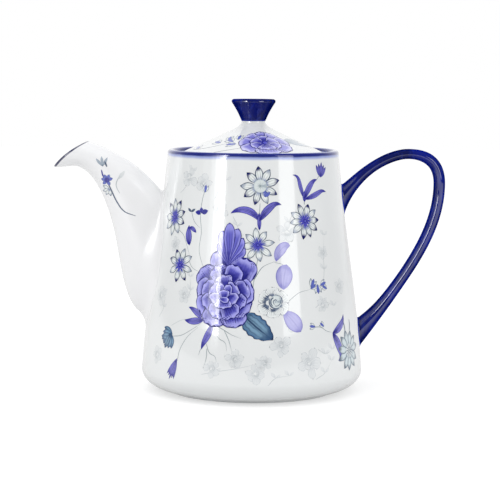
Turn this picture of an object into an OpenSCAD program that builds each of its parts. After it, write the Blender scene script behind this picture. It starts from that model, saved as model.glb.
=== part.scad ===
// Porcelain teapot: a tapered pot with a beaked spout, a strap handle and a lid that seats in the rim.
// Millimetres, +Z up. The origin is the centre of the circle that the pot stands on.
// The spout points to -X and the handle to +X.

/* [Pot] */
// Outer diameter of the rim
rim_d = 95; // [86:0.5:104]
// Height of the rim above the table
rim_h = 134.4; // [122:0.2:146]
// Diameter at the widest point, just above the foot
belly_d = 123.2; // [112:0.4:134]
// Height of the widest point
belly_h = 12; // [10:0.5:16]
// How far the rounded lower corner reaches in from the widest point
corner_w = 17; // [15:0.5:21]
// Outer diameter of the foot ring
foot_d = 94; // [91:0.5:98]
// Width of the bare face of the foot ring
foot_w = 3; // [2:0.1:4.5]
// Depth of the recess inside the foot ring
foot_recess = 1.6; // [1:0.1:2.4]
// Thickness of the fired wall
wall = 3.2; // [2.6:0.1:4]
// Thickness of the floor
floor_t = 4.4; // [3.4:0.1:6]
// How much the side draws in on its way up from the widest point
belly_taper = 2.4; // [0:0.1:5]
// How much the neck opens out below the rim
neck_flare = 2.8; // [0.5:0.1:5]

/* [Lid seat] */
// Depth of the lid seat below the rim
seat_depth = 6.2; // [4.5:0.1:7.5]
// Width of the ledge that carries the lid
ledge_w = 4.3; // [3.5:0.1:5.5]
// Thickness of that ledge
ledge_t = 3; // [2.4:0.1:4]

/* [Lid] */
// Thickness of the lid's dome
lid_t = 3; // [2.4:0.1:3.6]
// Thickness of the lid's edge
lid_edge_t = 2.6; // [2:0.1:3.2]
// Steepness of the lid's cone, rise over run
lid_slope = 0.455; // [0.38:0.005:0.55]
// Height of the neck between the cone and the knob
lid_neck_h = 6.8; // [5:0.1:9]
// Depth of the flange that drops into the mouth
flange_h = 12; // [8:0.5:18]
// Thickness of the flange
flange_t = 2.6; // [2:0.1:3.4]
// Gap all round between the lid and the pot
lid_gap = 0.6; // [0.4:0.05:1]
// Diameter of the steam hole at the back of the lid
vent_d = 3.4; // [2.6:0.1:4.4]
// Distance of the steam hole from the middle of the lid
vent_r = 23; // [18:0.5:27]

/* [Knob] */
// Diameter of the knob's top
knob_d = 24.4; // [20:0.2:30]
// Diameter of the knob's waist, where it stands on the lid's neck
waist_d = 13.2; // [11:0.2:16]
// Height of the knob
knob_h = 12.1; // [9.5:0.1:16]
// Rounding of the knob's top edge
knob_round = 1.3; // [0.8:0.1:2]

/* [Spout] */
// How far the beak's tip reaches out past the rim
spout_reach = 63.9; // [54:0.1:72]
// Height of the beak's tip below the rim
tip_drop = 10.4; // [6:0.2:15]
// Length of the slanted mouth of the beak
lip_l = 24.2; // [20:0.2:27]
// Slant of that mouth from level
lip_angle = 37; // [31:0.5:44]
// How far the sides of that mouth bow out past the straight line from tip to top
lip_bow = 1.3; // [0.5:0.1:2.5]
// Width of the mouth of the beak
lip_w = 17; // [14:0.5:20]
// How far below the rim the top of the spout meets the pot
spout_top_drop = 30.9; // [27:0.1:37]
// Height at which the underside of the spout leaves the pot
spout_low_h = 38.6; // [32:0.2:46]
// Width of the spout where it leaves the pot
spout_root_w = 31; // [27:0.5:36]
// Height at which the front of the spout stands steepest
waist_h = 84; // [78:0.5:90]
// How far the front of the spout stands off the pot at that height
waist_out = 23.1; // [20:0.1:27]
// Thickness of the spout's wall
spout_wall = 2.8; // [2.2:0.1:3.4]
// Thickness of the wall at the beak's edge
lip_t = 2; // [1.6:0.1:2.4]

/* [Strainer] */
// Diameter of one hole
hole_d = 4.8; // [3.6:0.1:5.4]
// Distance from hole to hole
hole_pitch = 7.6; // [6.8:0.1:8.6]
// Number of rows of holes
hole_rows = 7; // [5:1:7]

/* [Handle] */
// How far the middle of the strap stands out past the rim
handle_reach = 56.3; // [46:0.1:64]
// How far below the rim the middle of the strap reaches its highest point
handle_crest_drop = 1.9; // [0:0.1:4]
// How far below the rim the strap stands furthest out
handle_turn_drop = 18.5; // [14:0.5:24]
// Thickness of the strap
strap_t = 6.4; // [5:0.1:8]
// Thickness of the strap at its highest point
crest_t = 5.6; // [4.6:0.1:7]
// Width of the strap
strap_w = 11.6; // [9:0.1:15]
// Thickness of the strap where it meets the pot, at the top
root_top_t = 8; // [6.8:0.1:10]
// Thickness of the strap where it meets the pot, at the bottom
root_low_t = 8; // [6.8:0.1:10]
// How far below the rim the top end of the strap meets the pot
handle_top_drop = 28; // [24:0.5:34]
// Height at which the low end of the strap meets the pot
handle_low_h = 31.5; // [28:0.5:40]

/* [Hidden] */
$fn = 128;

GLAZE_WHITE = "#f2f3f4";
COBALT = "#20207c";

rim_r = rim_d / 2;
belly_r = belly_d / 2;
foot_r = foot_d / 2;
seat_r = rim_r - wall;
mouth_r = seat_r - ledge_w;
seat_h = rim_h - seat_depth;
corner_r = belly_r - corner_w;
floor_h = foot_recess + floor_t;

bite = 5; // how far the ends of spout and handle run into the pot before they are cut to its wall
past = 1; // how far a cutting shape runs past the face that it opens

// ---- curves ----
function mix(a, b, t) = a + (b - a) * t;
function cubic(p, t) =
    pow(1 - t, 3) * p[0] + 3 * pow(1 - t, 2) * t * p[1] + 3 * (1 - t) * t * t * p[2] + pow(t, 3) * p[3];
// A curve from a to b, whose two inner handles are fractions of the way across and the way up.
function bend(a, b, f, g) =
    [a, [mix(a.x, b.x, f.x), mix(a.y, b.y, f.y)], [mix(a.x, b.x, g.x), mix(a.y, b.y, g.y)], b];
function clamp01(t) = min(max(t, 0), 1);
function ease(t) = let (u = clamp01(t)) u * u * (3 - 2 * u);

// ---- the pot's wall ----
wall_steps = 12;
corner_steps = 9;
// Outer radius of the pot at height z, from the widest point to the rim.
function wall_r(z) =
    let (up = clamp01((z - belly_h) / (rim_h - belly_h)))
        cubic([belly_r, belly_r - belly_taper, rim_r + neck_flare, rim_r], up);
// Rounded lower corner: a quarter ellipse from level at corner_r to upright at side_r.
function corner_arc(side_r, low_z, high_z, from_a) =
    [for (i = [0:corner_steps]) let (a = mix(from_a, 90, i / corner_steps))
        [corner_r + (side_r - corner_r) * sin(a), high_z - (high_z - low_z) * cos(a)]];
foot_lift = 0.8; // the lowest point of the corner's curve above the table
foot_a = asin((foot_r - corner_r) / corner_w);
inner_corner_h = belly_h + floor_t * 0.7; // where the rounded inner corner runs out into the side
function side_line(inset, from_z, to_z) =
    [for (i = [0:wall_steps]) let (z = mix(from_z, to_z, i / wall_steps)) [wall_r(z) - inset, z]];
function arc(centre, r, from_a, to_a, steps) =
    [for (i = [0:steps]) let (a = mix(from_a, to_a, i / steps)) centre + r * [cos(a), sin(a)]];

foot_edge = 0.5; // small bevel on the foot ring and on the ledge
rim_round = wall / 2;
rim_steps = 8;
rim_from_a = 15; // the rim's round starts here, because the side leans in
ledge_low = seat_h - ledge_t;
// The ledge's underside runs back to the wall at 45 degrees.
brace_h = ledge_low - (wall_r(ledge_low) - wall - mouth_r);

outer_line = concat(
    [[0, foot_recess], [foot_r - foot_w - foot_edge, foot_recess], [foot_r - foot_w, 0],
        [foot_r - foot_edge, 0], [foot_r, foot_edge]],
    corner_arc(belly_r, foot_lift, belly_h, foot_a),
    side_line(0, belly_h, rim_h - rim_round));

module pot_outside() // the pot as a filled form, up to the rim
    rotate_extrude() polygon(concat(outer_line, [[rim_r, rim_h], [0, rim_h]]));

module pot_section()
    polygon(concat(
        outer_line,
        arc([rim_r - rim_round, rim_h - rim_round], rim_round, rim_from_a, 180, rim_steps),
        [[seat_r, seat_h], [mouth_r + foot_edge, seat_h], [mouth_r, seat_h - foot_edge],
            [mouth_r, ledge_low]],
        side_line(wall, brace_h, inner_corner_h),
        [for (i = [corner_steps - 1:-1:0])
            corner_arc(wall_r(inner_corner_h) - wall, floor_h, inner_corner_h, 0)[i]],
        [[0, floor_h]]));
// The floor with its foot ring, the wall, and the collar with the lid's seat are a node each, so that
// all three stay open inside.
wall_from_h = floor_h + 2;
module base_zone() translate([0, -past]) square([belly_d, wall_from_h + past]);
module collar_zone() translate([0, brace_h]) square([belly_d, rim_h - brace_h + past]);

// ---- strainer: holes through the wall behind the spout ----
strainer_mid_h = (spout_low_h + rim_h - spout_top_drop) / 2;
module strainer_holes()
    for (row = [0:hole_rows - 1], col = [-1:1])
        let (shift = row % 2 == 0 ? 0 : 0.5, y = (col + shift) * hole_pitch)
            if (row % 2 == 0 || col < 1)
                translate([-belly_r, y, strainer_mid_h + (row - (hole_rows - 1) / 2) * hole_pitch * sin(60)])
                    rotate([0, 90, 0]) cylinder(d = hole_d, h = belly_r / 2, $fn = 32);

module pot() color(GLAZE_WHITE) difference() {
    rotate_extrude() difference() {
        pot_section();
        base_zone();
        collar_zone();
    }
    strainer_holes();
}
module base() color(GLAZE_WHITE) rotate_extrude() intersection() {
    pot_section();
    base_zone();
}
module collar() color(GLAZE_WHITE) rotate_extrude() intersection() {
    pot_section();
    collar_zone();
}

// ---- a skin over a row of rings, each a list of points that runs the same way round ----
function ring_points(rings) = [for (ring = rings) each ring];
function skin_faces(rows, n) = concat(
    [[for (i = [0:n - 1]) i]],
    [for (r = [0:rows - 2], i = [0:n - 1]) let (a = r * n + i, b = r * n + (i + 1) % n) each
        [[a, a + n, b], [b, a + n, b + n]]],
    [[for (i = [n - 1:-1:0]) (rows - 1) * n + i]]);
module skin(rings) polyhedron(ring_points(rings), skin_faces(len(rings), len(rings[0])), convexity = 8);

// ---- spout ----
ring_n = 32;
spout_rows = 26;
tip = [-(rim_r + spout_reach), rim_h - tip_drop];
lip_top = tip + lip_l * [cos(lip_angle), sin(lip_angle)];
root_top = [-(wall_r(rim_h - spout_top_drop) - bite), rim_h - spout_top_drop];
root_low = [-(wall_r(spout_low_h) - bite), spout_low_h];
waist = [-(wall_r(waist_h) + waist_out), waist_h];
chin = tip + lip_l * [0.54, 0.017]; // where the beak's underside turns level
// The line along the top of the spout, and the three bends along its underside.
top_line = bend(root_top, lip_top, [0.26, 0.51], [0.56, 0.81]);
low_lines = [
    bend(root_low, waist, [0.7, 0.08], [0.78, 0.38]),
    bend(waist, chin, [0.18, 0.5], [0.54, 0.955]),
    bend(chin, tip, [0.25, -1.2], [0.6, 2.8])];
low_joints = [0, 0.45, 0.85, 1]; // where along the spout one bend passes to the next
function low_point(s) =
    let (k = s < low_joints[1] ? 0 : s < low_joints[2] ? 1 : 2)
        cubic(low_lines[k], (s - low_joints[k]) / (low_joints[k + 1] - low_joints[k]));
root_flare = 4; // how much wider each side of the spout spreads where it blends into the pot
function spout_half_w(s) =
    cubic([spout_root_w / 2, spout_root_w * 0.42, lip_w * 0.44, lip_w / 2], s)
        + root_flare * pow(1 - clamp01(s / 0.2), 2);
lip_out = [-sin(lip_angle), cos(lip_angle)]; // square to the beak's mouth
// One ring across the spout: an oval between the top line and the underside, set in by `inset`.
function spout_ring(s, inset, shift) =
    let (top = cubic(top_line, s), low = low_point(s), mid = (top + low) / 2, half = (top - low) / 2,
        up = half / norm(half), a = norm(half) - inset, b = spout_half_w(s) - inset,
        bow = lip_out * (lip_bow * pow(s, 6)))
        [for (i = [0:ring_n - 1])
            let (t = 360 * i / ring_n, p = mid + shift + up * (a * cos(t)) + bow * pow(sin(t), 2))
                [p.x, b * sin(t), p.y]];
module spout() color(GLAZE_WHITE) difference() {
    skin([for (i = [0:spout_rows]) spout_ring(i / spout_rows, 0, [0, 0])]);
    skin(concat(
        [spout_ring(0, spout_wall, [past, 0])],
        [for (i = [0:spout_rows]) let (s = i / spout_rows) spout_ring(s, mix(spout_wall, lip_t, s), [0, 0])],
        [spout_ring(1, lip_t, past * lip_out)]));
    pot_outside();
}

// ---- handle ----
strap_n = 24;
root_spread = 4; // how much wider the strap grows where it meets the pot
root_swell = 4.5; // how much the clay fills the narrow angle above each end of the strap
crest = [rim_r + 0.69 * handle_reach, rim_h - handle_crest_drop]; // the strap's highest point
turn = [rim_r + handle_reach, rim_h - handle_turn_drop];
grip_top = [wall_r(rim_h - handle_top_drop) - bite / 2, rim_h - handle_top_drop - bite];
grip_low = [wall_r(handle_low_h) - bite * 0.6, handle_low_h - bite];
strap_lines = [
    bend(grip_top, crest, [0.16, 0.585], [0.68, 1]),
    bend(crest, turn, [0.49, 0], [1, 0.2]),
    bend(turn, grip_low, [0, 0.313], [0.393, 0.58])];
strap_rows = [16, 12, 26];
function slope_at(p, t) =
    let (d = cubic(p, min(t + 0.01, 1)) - cubic(p, max(t - 0.01, 0))) d / norm(d);
// Each station: place, direction, thickness and width. `k` counts bends and `t` runs along one.
function strap_station(k, t) =
    let (near_top = k == 0 ? ease(1 - t / 0.6) : 0, near_low = k == 2 ? ease((t - 0.6) / 0.4) : 0,
        arch = k == 0 ? 1 : k == 1 ? ease(1 - t / 0.6) : 0,
        swell = root_swell * (pow(near_top, 4) + pow(near_low, 4)),
        along = slope_at(strap_lines[k], t), above = [-along.y, along.x] * (k == 0 ? 1 : -1))
        [cubic(strap_lines[k], t) + above * (swell / 2), along,
            mix(mix(mix(strap_t, crest_t, arch), root_top_t, near_top), root_low_t, near_low) + swell,
            strap_w + root_spread * (pow(near_top, 2) + pow(near_low, 2))];
function strap_ring(st) =
    let (side = [-st[1].y, st[1].x])
        [for (i = [0:strap_n - 1]) let (a = 360 * i / strap_n, p = st[0] + side * (st[2] / 2 * cos(a)))
            [p.x, -st[3] / 2 * sin(a), p.y]];
module handle() color(COBALT) difference() {
    skin([for (k = [0:2], i = [(k == 0 ? 0 : 1):strap_rows[k]])
        strap_ring(strap_station(k, i / strap_rows[k]))]);
    pot_outside();
}

// ---- lid ----
lid_r = seat_r - lid_gap;
flange_r = mouth_r - lid_gap;
edge_top = seat_h + lid_edge_t;
waist_r = waist_d / 2;
cone_in = waist_r + 9.4; // where the neck's hollow curve runs out into the cone
function cone_z(r) = edge_top + (lid_r - r) * lid_slope; // height of the cone at radius r
neck_h = cone_z(cone_in) + lid_neck_h;
neck_line = [[waist_r, neck_h], [waist_r, neck_h - 0.3 * lid_neck_h],
    [waist_r + 2, neck_h - 0.53 * lid_neck_h], [cone_in, cone_z(cone_in)]];
neck_steps = 12;
edge = 0.8; // rounding of the lid's rim and of the flange's end
flange_in = flange_r - flange_t;
crown_r = waist_r + 5; // inside the dome the crown is flat up to here
function under_z(r) = cone_z(r) - lid_t * norm([1, lid_slope]);
// The dome and the flange that hangs from it are a node each, so that the lid stays open inside.
module dome()
    rotate_extrude() polygon(concat(
        [[0, neck_h]],
        [for (i = [0:neck_steps]) cubic(neck_line, i / neck_steps)],
        [[lid_r - edge, cone_z(lid_r - edge)], [lid_r, edge_top - edge], [lid_r, seat_h + edge / 2],
            [lid_r - edge / 2, seat_h], [flange_in, seat_h],
            [flange_in, under_z(flange_in)], [crown_r, under_z(crown_r)], [0, under_z(crown_r)]]));
module lid() color(GLAZE_WHITE) difference() {
    dome();
    translate([0, vent_r, seat_h]) cylinder(d = vent_d, h = neck_h, $fn = 32);
}
module flange() color(GLAZE_WHITE) rotate_extrude() polygon([
    [flange_r, seat_h], [flange_r, seat_h - flange_h + edge], [flange_r - edge, seat_h - flange_h],
    [flange_in, seat_h - flange_h], [flange_in, seat_h]]);

// ---- knob ----
knob_r = knob_d / 2;
knob_top = neck_h + knob_h;
knob_side_h = knob_h - 1.6 * knob_round; // the flared side ends below the rounded top edge
knob_hollow = 0.35; // how far the flared side curves in
knob_dish = 0.3; // depth of the shallow dish in the top
knob_steps = 7;
module knob() color(COBALT) rotate_extrude() polygon(concat(
    [[0, neck_h], [waist_r, neck_h]],
    [for (i = [1:knob_steps - 1]) let (t = i / knob_steps)
        [mix(waist_r, knob_r, t) - knob_hollow * sin(180 * t), neck_h + knob_side_h * t]],
    arc([knob_r - knob_round, knob_top - knob_round], knob_round, -25, 90, knob_steps),
    [[knob_r / 2, knob_top - knob_dish / 2], [0, knob_top - knob_dish]]));

pot();
base();
collar();
spout();
handle();
lid();
flange();
knob();
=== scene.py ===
import math
import random

import bmesh
import bpy
from mathutils import Matrix, Vector


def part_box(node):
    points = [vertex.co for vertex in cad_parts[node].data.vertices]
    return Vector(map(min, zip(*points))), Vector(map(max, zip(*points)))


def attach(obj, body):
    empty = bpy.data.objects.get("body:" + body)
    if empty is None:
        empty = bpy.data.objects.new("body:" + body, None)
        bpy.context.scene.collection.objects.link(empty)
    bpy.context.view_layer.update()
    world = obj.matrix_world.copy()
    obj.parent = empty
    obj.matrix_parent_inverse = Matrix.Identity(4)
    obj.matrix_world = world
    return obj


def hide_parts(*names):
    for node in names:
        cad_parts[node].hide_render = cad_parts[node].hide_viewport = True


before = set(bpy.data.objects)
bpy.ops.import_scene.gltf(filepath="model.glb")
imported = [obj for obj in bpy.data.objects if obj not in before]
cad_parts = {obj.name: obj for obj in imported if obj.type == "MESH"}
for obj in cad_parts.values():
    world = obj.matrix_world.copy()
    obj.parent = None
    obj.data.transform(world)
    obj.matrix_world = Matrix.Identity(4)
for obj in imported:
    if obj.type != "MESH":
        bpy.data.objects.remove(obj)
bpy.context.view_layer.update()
print("frame loaded")

mm = 0.001
fullTurn = 2 * math.pi
nudge = 0.01  # a small step along or round a form, to find its slope
scene = bpy.context.scene
scene.view_settings.view_transform = "Standard"  # white ware on white keeps its own tones


# small maths shared by all shapes; lengths below are in millimetres until a mesh is placed
def mix(a, b, t):
    return a + (b - a) * t


def clamp(t, low=0.0, high=1.0):
    return max(low, min(high, t))


def ease(t):
    t = clamp(t)
    return t * t * (3 - 2 * t)


def cubic(p, t):
    s = 1 - t
    return p[0] * s ** 3 + p[1] * (3 * s * s * t) + p[2] * (3 * s * t * t) + p[3] * t ** 3


def bend(a, b, f, g):  # a curve whose inner handles are fractions of the way across and up
    a, b = Vector(a), Vector(b)
    return [a, Vector((mix(a.x, b.x, f[0]), mix(a.y, b.y, f[1]))),
            Vector((mix(a.x, b.x, g[0]), mix(a.y, b.y, g[1]))), b]


def findRoot(f, low, high):  # f is negative at low and positive at high
    for step in range(40):
        middle = (low + high) / 2
        low, high = (middle, high) if f(middle) < 0 else (low, middle)
    return high


def hexColor(text):
    parts = [int(text[i:i + 2], 16) / 255 for i in (1, 3, 5)]
    return [c / 12.92 if c <= 0.04045 else ((c + 0.055) / 1.055) ** 2.4 for c in parts] + [1.0]


# shader helpers: each adds its node to the tree of the socket that it is given
def addNode(tree, kind, **settings):
    node = tree.nodes.new("ShaderNode" + kind)
    for key, value in settings.items():
        setattr(node, key, value)
    return node


def wire(value, socket):  # a socket is linked, a plain value is set
    if isinstance(value, bpy.types.NodeSocket):
        socket.id_data.links.new(value, socket)
    else:
        socket.default_value = value


def wireAll(node, values):
    for label, value in values.items():
        wire(value, node.inputs[label])


def addGroup(name, given, made):
    # given: the default of each input, None for a bare colour; made: output kinds
    tree = bpy.data.node_groups.new(name, "ShaderNodeTree")
    for label, default in given.items():
        kind = "Float" if isinstance(default, float) else "Color"
        socket = tree.interface.new_socket(name=label, in_out="INPUT", socket_type="NodeSocket" + kind)
        if default is not None:
            socket.default_value = default
    for label, kind in made.items():
        tree.interface.new_socket(name=label, in_out="OUTPUT", socket_type="NodeSocket" + kind)
    return tree, tree.nodes.new("NodeGroupInput").outputs, tree.nodes.new("NodeGroupOutput").inputs


def useGroup(tree, group, values):
    node = addNode(tree, "Group", node_tree=group)
    wireAll(node, values)
    return node.outputs


def calc(operation, a, b=0.0, c=None):
    given = (a, b) if c is None else (a, b, c)
    tree = next(value.id_data for value in given if isinstance(value, bpy.types.NodeSocket))
    node = addNode(tree, "Math", operation=operation)
    for value, socket in zip(given, node.inputs):
        wire(value, socket)
    return node.outputs[0]


def times(a, b):
    return calc("MULTIPLY", a, b)


def timesPlus(a, b, c):
    return calc("MULTIPLY_ADD", a, b, c)


def minus(a, b):
    return calc("SUBTRACT", a, b)


def stepBetween(value, low, high, start=0.0, end=1.0):  # start at low, end at high, smooth between
    node = addNode(value.id_data, "MapRange", interpolation_type="SMOOTHSTEP")
    wireAll(node, {"Value": value, "From Min": low, "From Max": high, "To Min": start, "To Max": end})
    return node.outputs["Result"]


def blendValue(factor, a, b):
    node = addNode(factor.id_data, "Mix")
    wireAll(node, {"Factor": factor, "A": a, "B": b})
    return node.outputs["Result"]


def blendColor(factor, a, b, way="MIX"):
    node = addNode(factor.id_data, "Mix", data_type="RGBA", blend_type=way)
    for value, index in ((factor, 0), (a, 6), (b, 7)):  # a Mix node has its colours at 6 and 7
        wire(value, node.inputs[index])
    return node.outputs[2]


def scaleColor(color, factor):
    node = addNode(color.id_data, "VectorMath", operation="SCALE")
    wire(color, node.inputs[0])
    wire(factor, node.inputs["Scale"])
    return node.outputs[0]


def objectSpot(tree):
    return addNode(tree, "TexCoord").outputs["Object"]


def splitUp(vector):
    node = addNode(vector.id_data, "SeparateXYZ")
    wire(vector, node.inputs[0])
    return node.outputs


def readAttribute(tree, name):
    return addNode(tree, "Attribute", attribute_name=name).outputs["Fac"]


def noiseAt(tree, scale, detail=2.0, vector=None):
    node = addNode(tree, "TexNoise")
    wireAll(node, {"Scale": scale, "Detail": detail, "Vector": vector or objectSpot(tree)})
    return node.outputs[0]


def addBump(shader, height, distance):
    bump = addNode(shader.id_data, "Bump")
    wireAll(bump, {"Distance": distance, "Height": height})
    wire(bump.outputs[0], shader.inputs["Normal"])


# camera and light
cameraSet = {"distance": 1.0, "height": 0.1796, "aside": -0.00139, "down": 5.794, "roll": 0.431,
             "lens": 129.4, "sensor": 36, "nearest": 0.01, "farthest": 50}


def placeInScene(name, data):
    made = bpy.data.objects.new(name, data)
    scene.collection.objects.link(made)
    return made


def makeCamera(c):
    data = bpy.data.cameras.new("viewCamera")
    data.lens, data.sensor_width = c["lens"], c["sensor"]
    data.clip_start, data.clip_end = c["nearest"], c["farthest"]
    cam = placeInScene("viewCamera", data)
    cam.location = (c["aside"], -c["distance"], c["height"])
    tilt = Matrix.Rotation(math.radians(90 - c["down"]), 3, "X")
    cam.rotation_euler = (tilt @ Matrix.Rotation(math.radians(c["roll"]), 3, "Z")).to_euler()
    scene.camera = cam


# azimuth 0 is the camera's side and grows to the right
lightSet = {
    "target": (0, 0, 0.085),
    # tall softboxes that show as bright bands in the glaze: name, azimuth from and to, watts per square metre
    "strips": [("stripLeftA", -39.5, -35.2, 32), ("stripLeftB", -44, -39.5, 20), ("stripLeftC", -49, -44, 12),
               ("stripLeftD", -55, -49, 4.5), ("stripLeftE", -68, -55, 1.5), ("stripRight", 32.5, 54, 7)],
    "stripHeight": 0.85, "stripElevation": 19.6, "stripDistance": 1.3,
    "softs": [  # large lights that only shade the white
        {"name": "softTop", "azimuth": -20, "elevation": 72, "size": (1.6, 1.6), "watts": 6},
        {"name": "softLeft", "azimuth": -70, "elevation": 30, "size": (1.2, 1.2), "watts": 2.4},
        {"name": "softRight", "azimuth": 66, "elevation": 24, "size": (1.2, 1.2), "watts": 2.2}, ],
    "softDistance": 1.6,
    # what the world gives to cameras and to matt surfaces, then to gloss that looks to the front and to the
    # back, and the directions along Y between which that changes
    "backdrop": 1.0, "fill": 0.95, "shine": (0.06, 0.95), "shineTurn": (0.1, 0.95), }


def areaLight(spec, target, distance, glossOnly):
    data = bpy.data.lights.new(spec["name"], "AREA")
    data.shape = "RECTANGLE"
    data.size, data.size_y = spec["size"]
    data.energy = spec["watts"]
    light = placeInScene(spec["name"], data)
    az, el = math.radians(spec["azimuth"]), math.radians(spec["elevation"])
    away = Vector((math.sin(az) * math.cos(el), -math.cos(az) * math.cos(el), math.sin(el)))
    light.location = Vector(target) + away * distance
    light.rotation_euler = away.to_track_quat("Z", "Y").to_euler()
    light.visible_camera = False
    light.visible_diffuse = not glossOnly
    light.visible_glossy = glossOnly
    light.visible_transmission = False


def makeWorld(c):
    world = bpy.data.worlds.new("paleStudio")
    world.use_nodes = True
    scene.world = world
    tree = world.node_tree
    rays = addNode(tree, "LightPath").outputs
    toBack = splitUp(addNode(tree, "TexCoord").outputs["Generated"])["Y"]
    shine = stepBetween(toBack, *c["shineTurn"], *c["shine"])
    unseen = blendValue(rays["Is Glossy Ray"], c["fill"], shine)
    wireAll(tree.nodes["Background"], {
        "Color": (1.0, 1.0, 1.0, 1.0), "Strength": blendValue(rays["Is Camera Ray"], unseen, c["backdrop"])})


makeCamera(cameraSet)
makeWorld(lightSet)
for name, begin, finish, power in lightSet["strips"]:
    width = abs(math.radians(finish - begin)) * lightSet["stripDistance"]
    strip = {"name": name, "azimuth": (begin + finish) / 2, "elevation": lightSet["stripElevation"],
             "size": (width, lightSet["stripHeight"]), "watts": power * width * lightSet["stripHeight"]}
    areaLight(strip, lightSet["target"], lightSet["stripDistance"], True)
for soft in lightSet["softs"]:
    areaLight(soft, lightSet["target"], lightSet["softDistance"], False)
print("camera and light ready")


# glazes
glossSet = {"roughness": 0.12, "coat": 1.0, "coatRoughness": 0.025, "ior": 1.5, "wave": 0.00006}
# noise scales of the tone's clouds and cool areas, of waves, pinholes and ragged paint, and their strength
skinSet = {"clouds": 22.0, "cool": 9.0, "coolColor": (0.965, 0.98, 1.0, 1), "coolShare": 0.5, "waves": 46.0,
           "pinholes": 900.0, "pinholeAt": (0.74, 0.8), "pinholeDepth": -0.02, "ragged": 70.0}


def makeGlazeSkin(c):  # tone drift, and the slight waves and pinholes of a fired glaze
    tree, given, out = addGroup("glazeSkin", {"Color": (0.8, 0.8, 0.8, 1), "Drift": 0.03},
                                {"Color": "Color", "Height": "Float"})
    shade = timesPlus(minus(noiseAt(tree, c["clouds"]), 0.5), given["Drift"], 1.0)
    cool = blendColor(times(noiseAt(tree, c["cool"]), c["coolShare"]), given["Color"], c["coolColor"],
                      "MULTIPLY")
    wire(scaleColor(cool, shade), out["Color"])
    pinholes = stepBetween(noiseAt(tree, c["pinholes"], 1.0), *c["pinholeAt"])
    wire(timesPlus(pinholes, c["pinholeDepth"], noiseAt(tree, c["waves"], 1.0)), out["Height"])
    return tree


def makePaintBand(c):  # a painted line that lies between two places and fades unevenly
    tree, given, out = addGroup("paintBand", {"Place": 0.0, "Solid": 0.0, "Gone": 1.0, "Ragged": 0.1},
                                {"Mask": "Float"})
    uneven = times(minus(noiseAt(tree, c["ragged"]), 0.5), given["Ragged"])
    wire(stepBetween(calc("ADD", given["Place"], uneven), given["Gone"], given["Solid"]), out["Mask"])
    return tree


glazeSkin = makeGlazeSkin(skinSet)
paintBand = makePaintBand(skinSet)


def newFinish(name, gloss=glossSet):
    material = bpy.data.materials.new(name)
    material.use_nodes = True
    shader = material.node_tree.nodes["Principled BSDF"]
    wireAll(shader, {"Roughness": gloss["roughness"], "Coat Weight": gloss["coat"],
                     "Coat Roughness": gloss["coatRoughness"], "IOR": gloss["ior"],
                     "Specular IOR Level": gloss.get("level", 0.5)})
    return material, material.node_tree, shader


def addSkin(shader, color, drift, wave):  # the glaze's own tone and waves over a colour
    skin = useGroup(shader.id_data, glazeSkin, {"Color": color, "Drift": drift})
    wire(skin["Color"], shader.inputs["Base Color"])
    addBump(shader, skin["Height"], wave)


def bandMask(place, solid, gone, ragged):
    values = {"Place": place, "Solid": solid, "Gone": gone, "Ragged": ragged}
    return useGroup(place.id_data, paintBand, values)["Mask"]


def wornMask(tree, scale, detail, low, high, loss):  # 1 where a painted line is whole, less where it is worn
    return timesPlus(stepBetween(noiseAt(tree, scale, detail), low, high), -loss, 1.0)


whiteSet = {"white": hexColor("#e9ebeb"), "blue": hexColor("#20297c"), "wash": hexColor("#8093dc"),
            "drift": 0.05,
            # the rim's wash and band: where they are solid and gone below the rim, and how ragged, in mm
            "washAt": (2.4, 4.2, 1.2), "bandAt": (1.5, 2.6, 0.8), "washShare": 0.8,
            # the painted highlight on the rim's crown, in the wash colour: how far from its middle, and how
            # far below its top
            "crownWidth": (0.5, 1.3), "crownDepth": (1.0, 0.3), "crownHighlightShare": 0.5,
            "worn": (60.0, 3.0, 0.62, 0.8, 0.4)}


def makeWhiteGlaze():  # plain white, for the lid
    material, tree, shader = newFinish("whiteGlaze")
    addSkin(shader, whiteSet["white"], whiteSet["drift"], glossSet["wave"])
    return material


def makePotGlaze(c, rimHeight, rimMiddle):  # white, with a blue line run over the rim, and a painted highlight that lightens its crown
    material, tree, shader = newFinish("potGlaze")
    height = splitUp(objectSpot(tree))[2]
    flat = addNode(tree, "VectorMath", operation="MULTIPLY")
    wire(objectSpot(tree), flat.inputs[0])
    wire((1, 1, 0), flat.inputs[1])
    length = addNode(tree, "VectorMath", operation="LENGTH")
    wire(flat.outputs[0], length.inputs[0])
    fromCrown = calc("ABSOLUTE", minus(length.outputs["Value"], rimMiddle))
    high = stepBetween(height, *[rimHeight - depth * mm for depth in c["crownDepth"]])
    crownHighlight = times(minus(1.0, stepBetween(fromCrown, *[width * mm for width in c["crownWidth"]])), high)
    wash, band = [bandMask(height, rimHeight - solid * mm, rimHeight - gone * mm, ragged * mm)
                  for solid, gone, ragged in (c["washAt"], c["bandAt"])]
    color = blendColor(times(wash, c["washShare"]), c["white"], c["wash"])
    color = blendColor(times(band, wornMask(tree, *c["worn"])), color, c["blue"])
    # painted highlight: the rim's rounded top is lightened toward the wash colour
    color = blendColor(times(crownHighlight, c["crownHighlightShare"]), color, c["wash"])
    addSkin(shader, color, c["drift"], glossSet["wave"])
    return material


# the spout's white is painted lighter than the pot's, for the light the spout catches
spoutSet = {"roughness": 0.26, "coat": 0.8, "coatRoughness": 0.2, "ior": 1.5, "white": hexColor("#f2f2f3"),
            "lipColor": hexColor("#181f52"), "lipLine": (1.5, 2.1, 0.8), "worn": (130.0, 2.0, 0.4, 0.8, 0.25)}


def makeSpoutGlaze(c):  # a lighter white than the pot's, painted light for the light that falls on the spout, with a thin blue line on the lip
    material, tree, shader = newFinish("spoutGlaze", c)
    line = times(bandMask(readAttribute(tree, "lipGap"), *c["lipLine"]), wornMask(tree, *c["worn"]))
    addSkin(shader, blendColor(line, c["white"], c["lipColor"]), whiteSet["drift"], glossSet["wave"])
    return material


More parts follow.
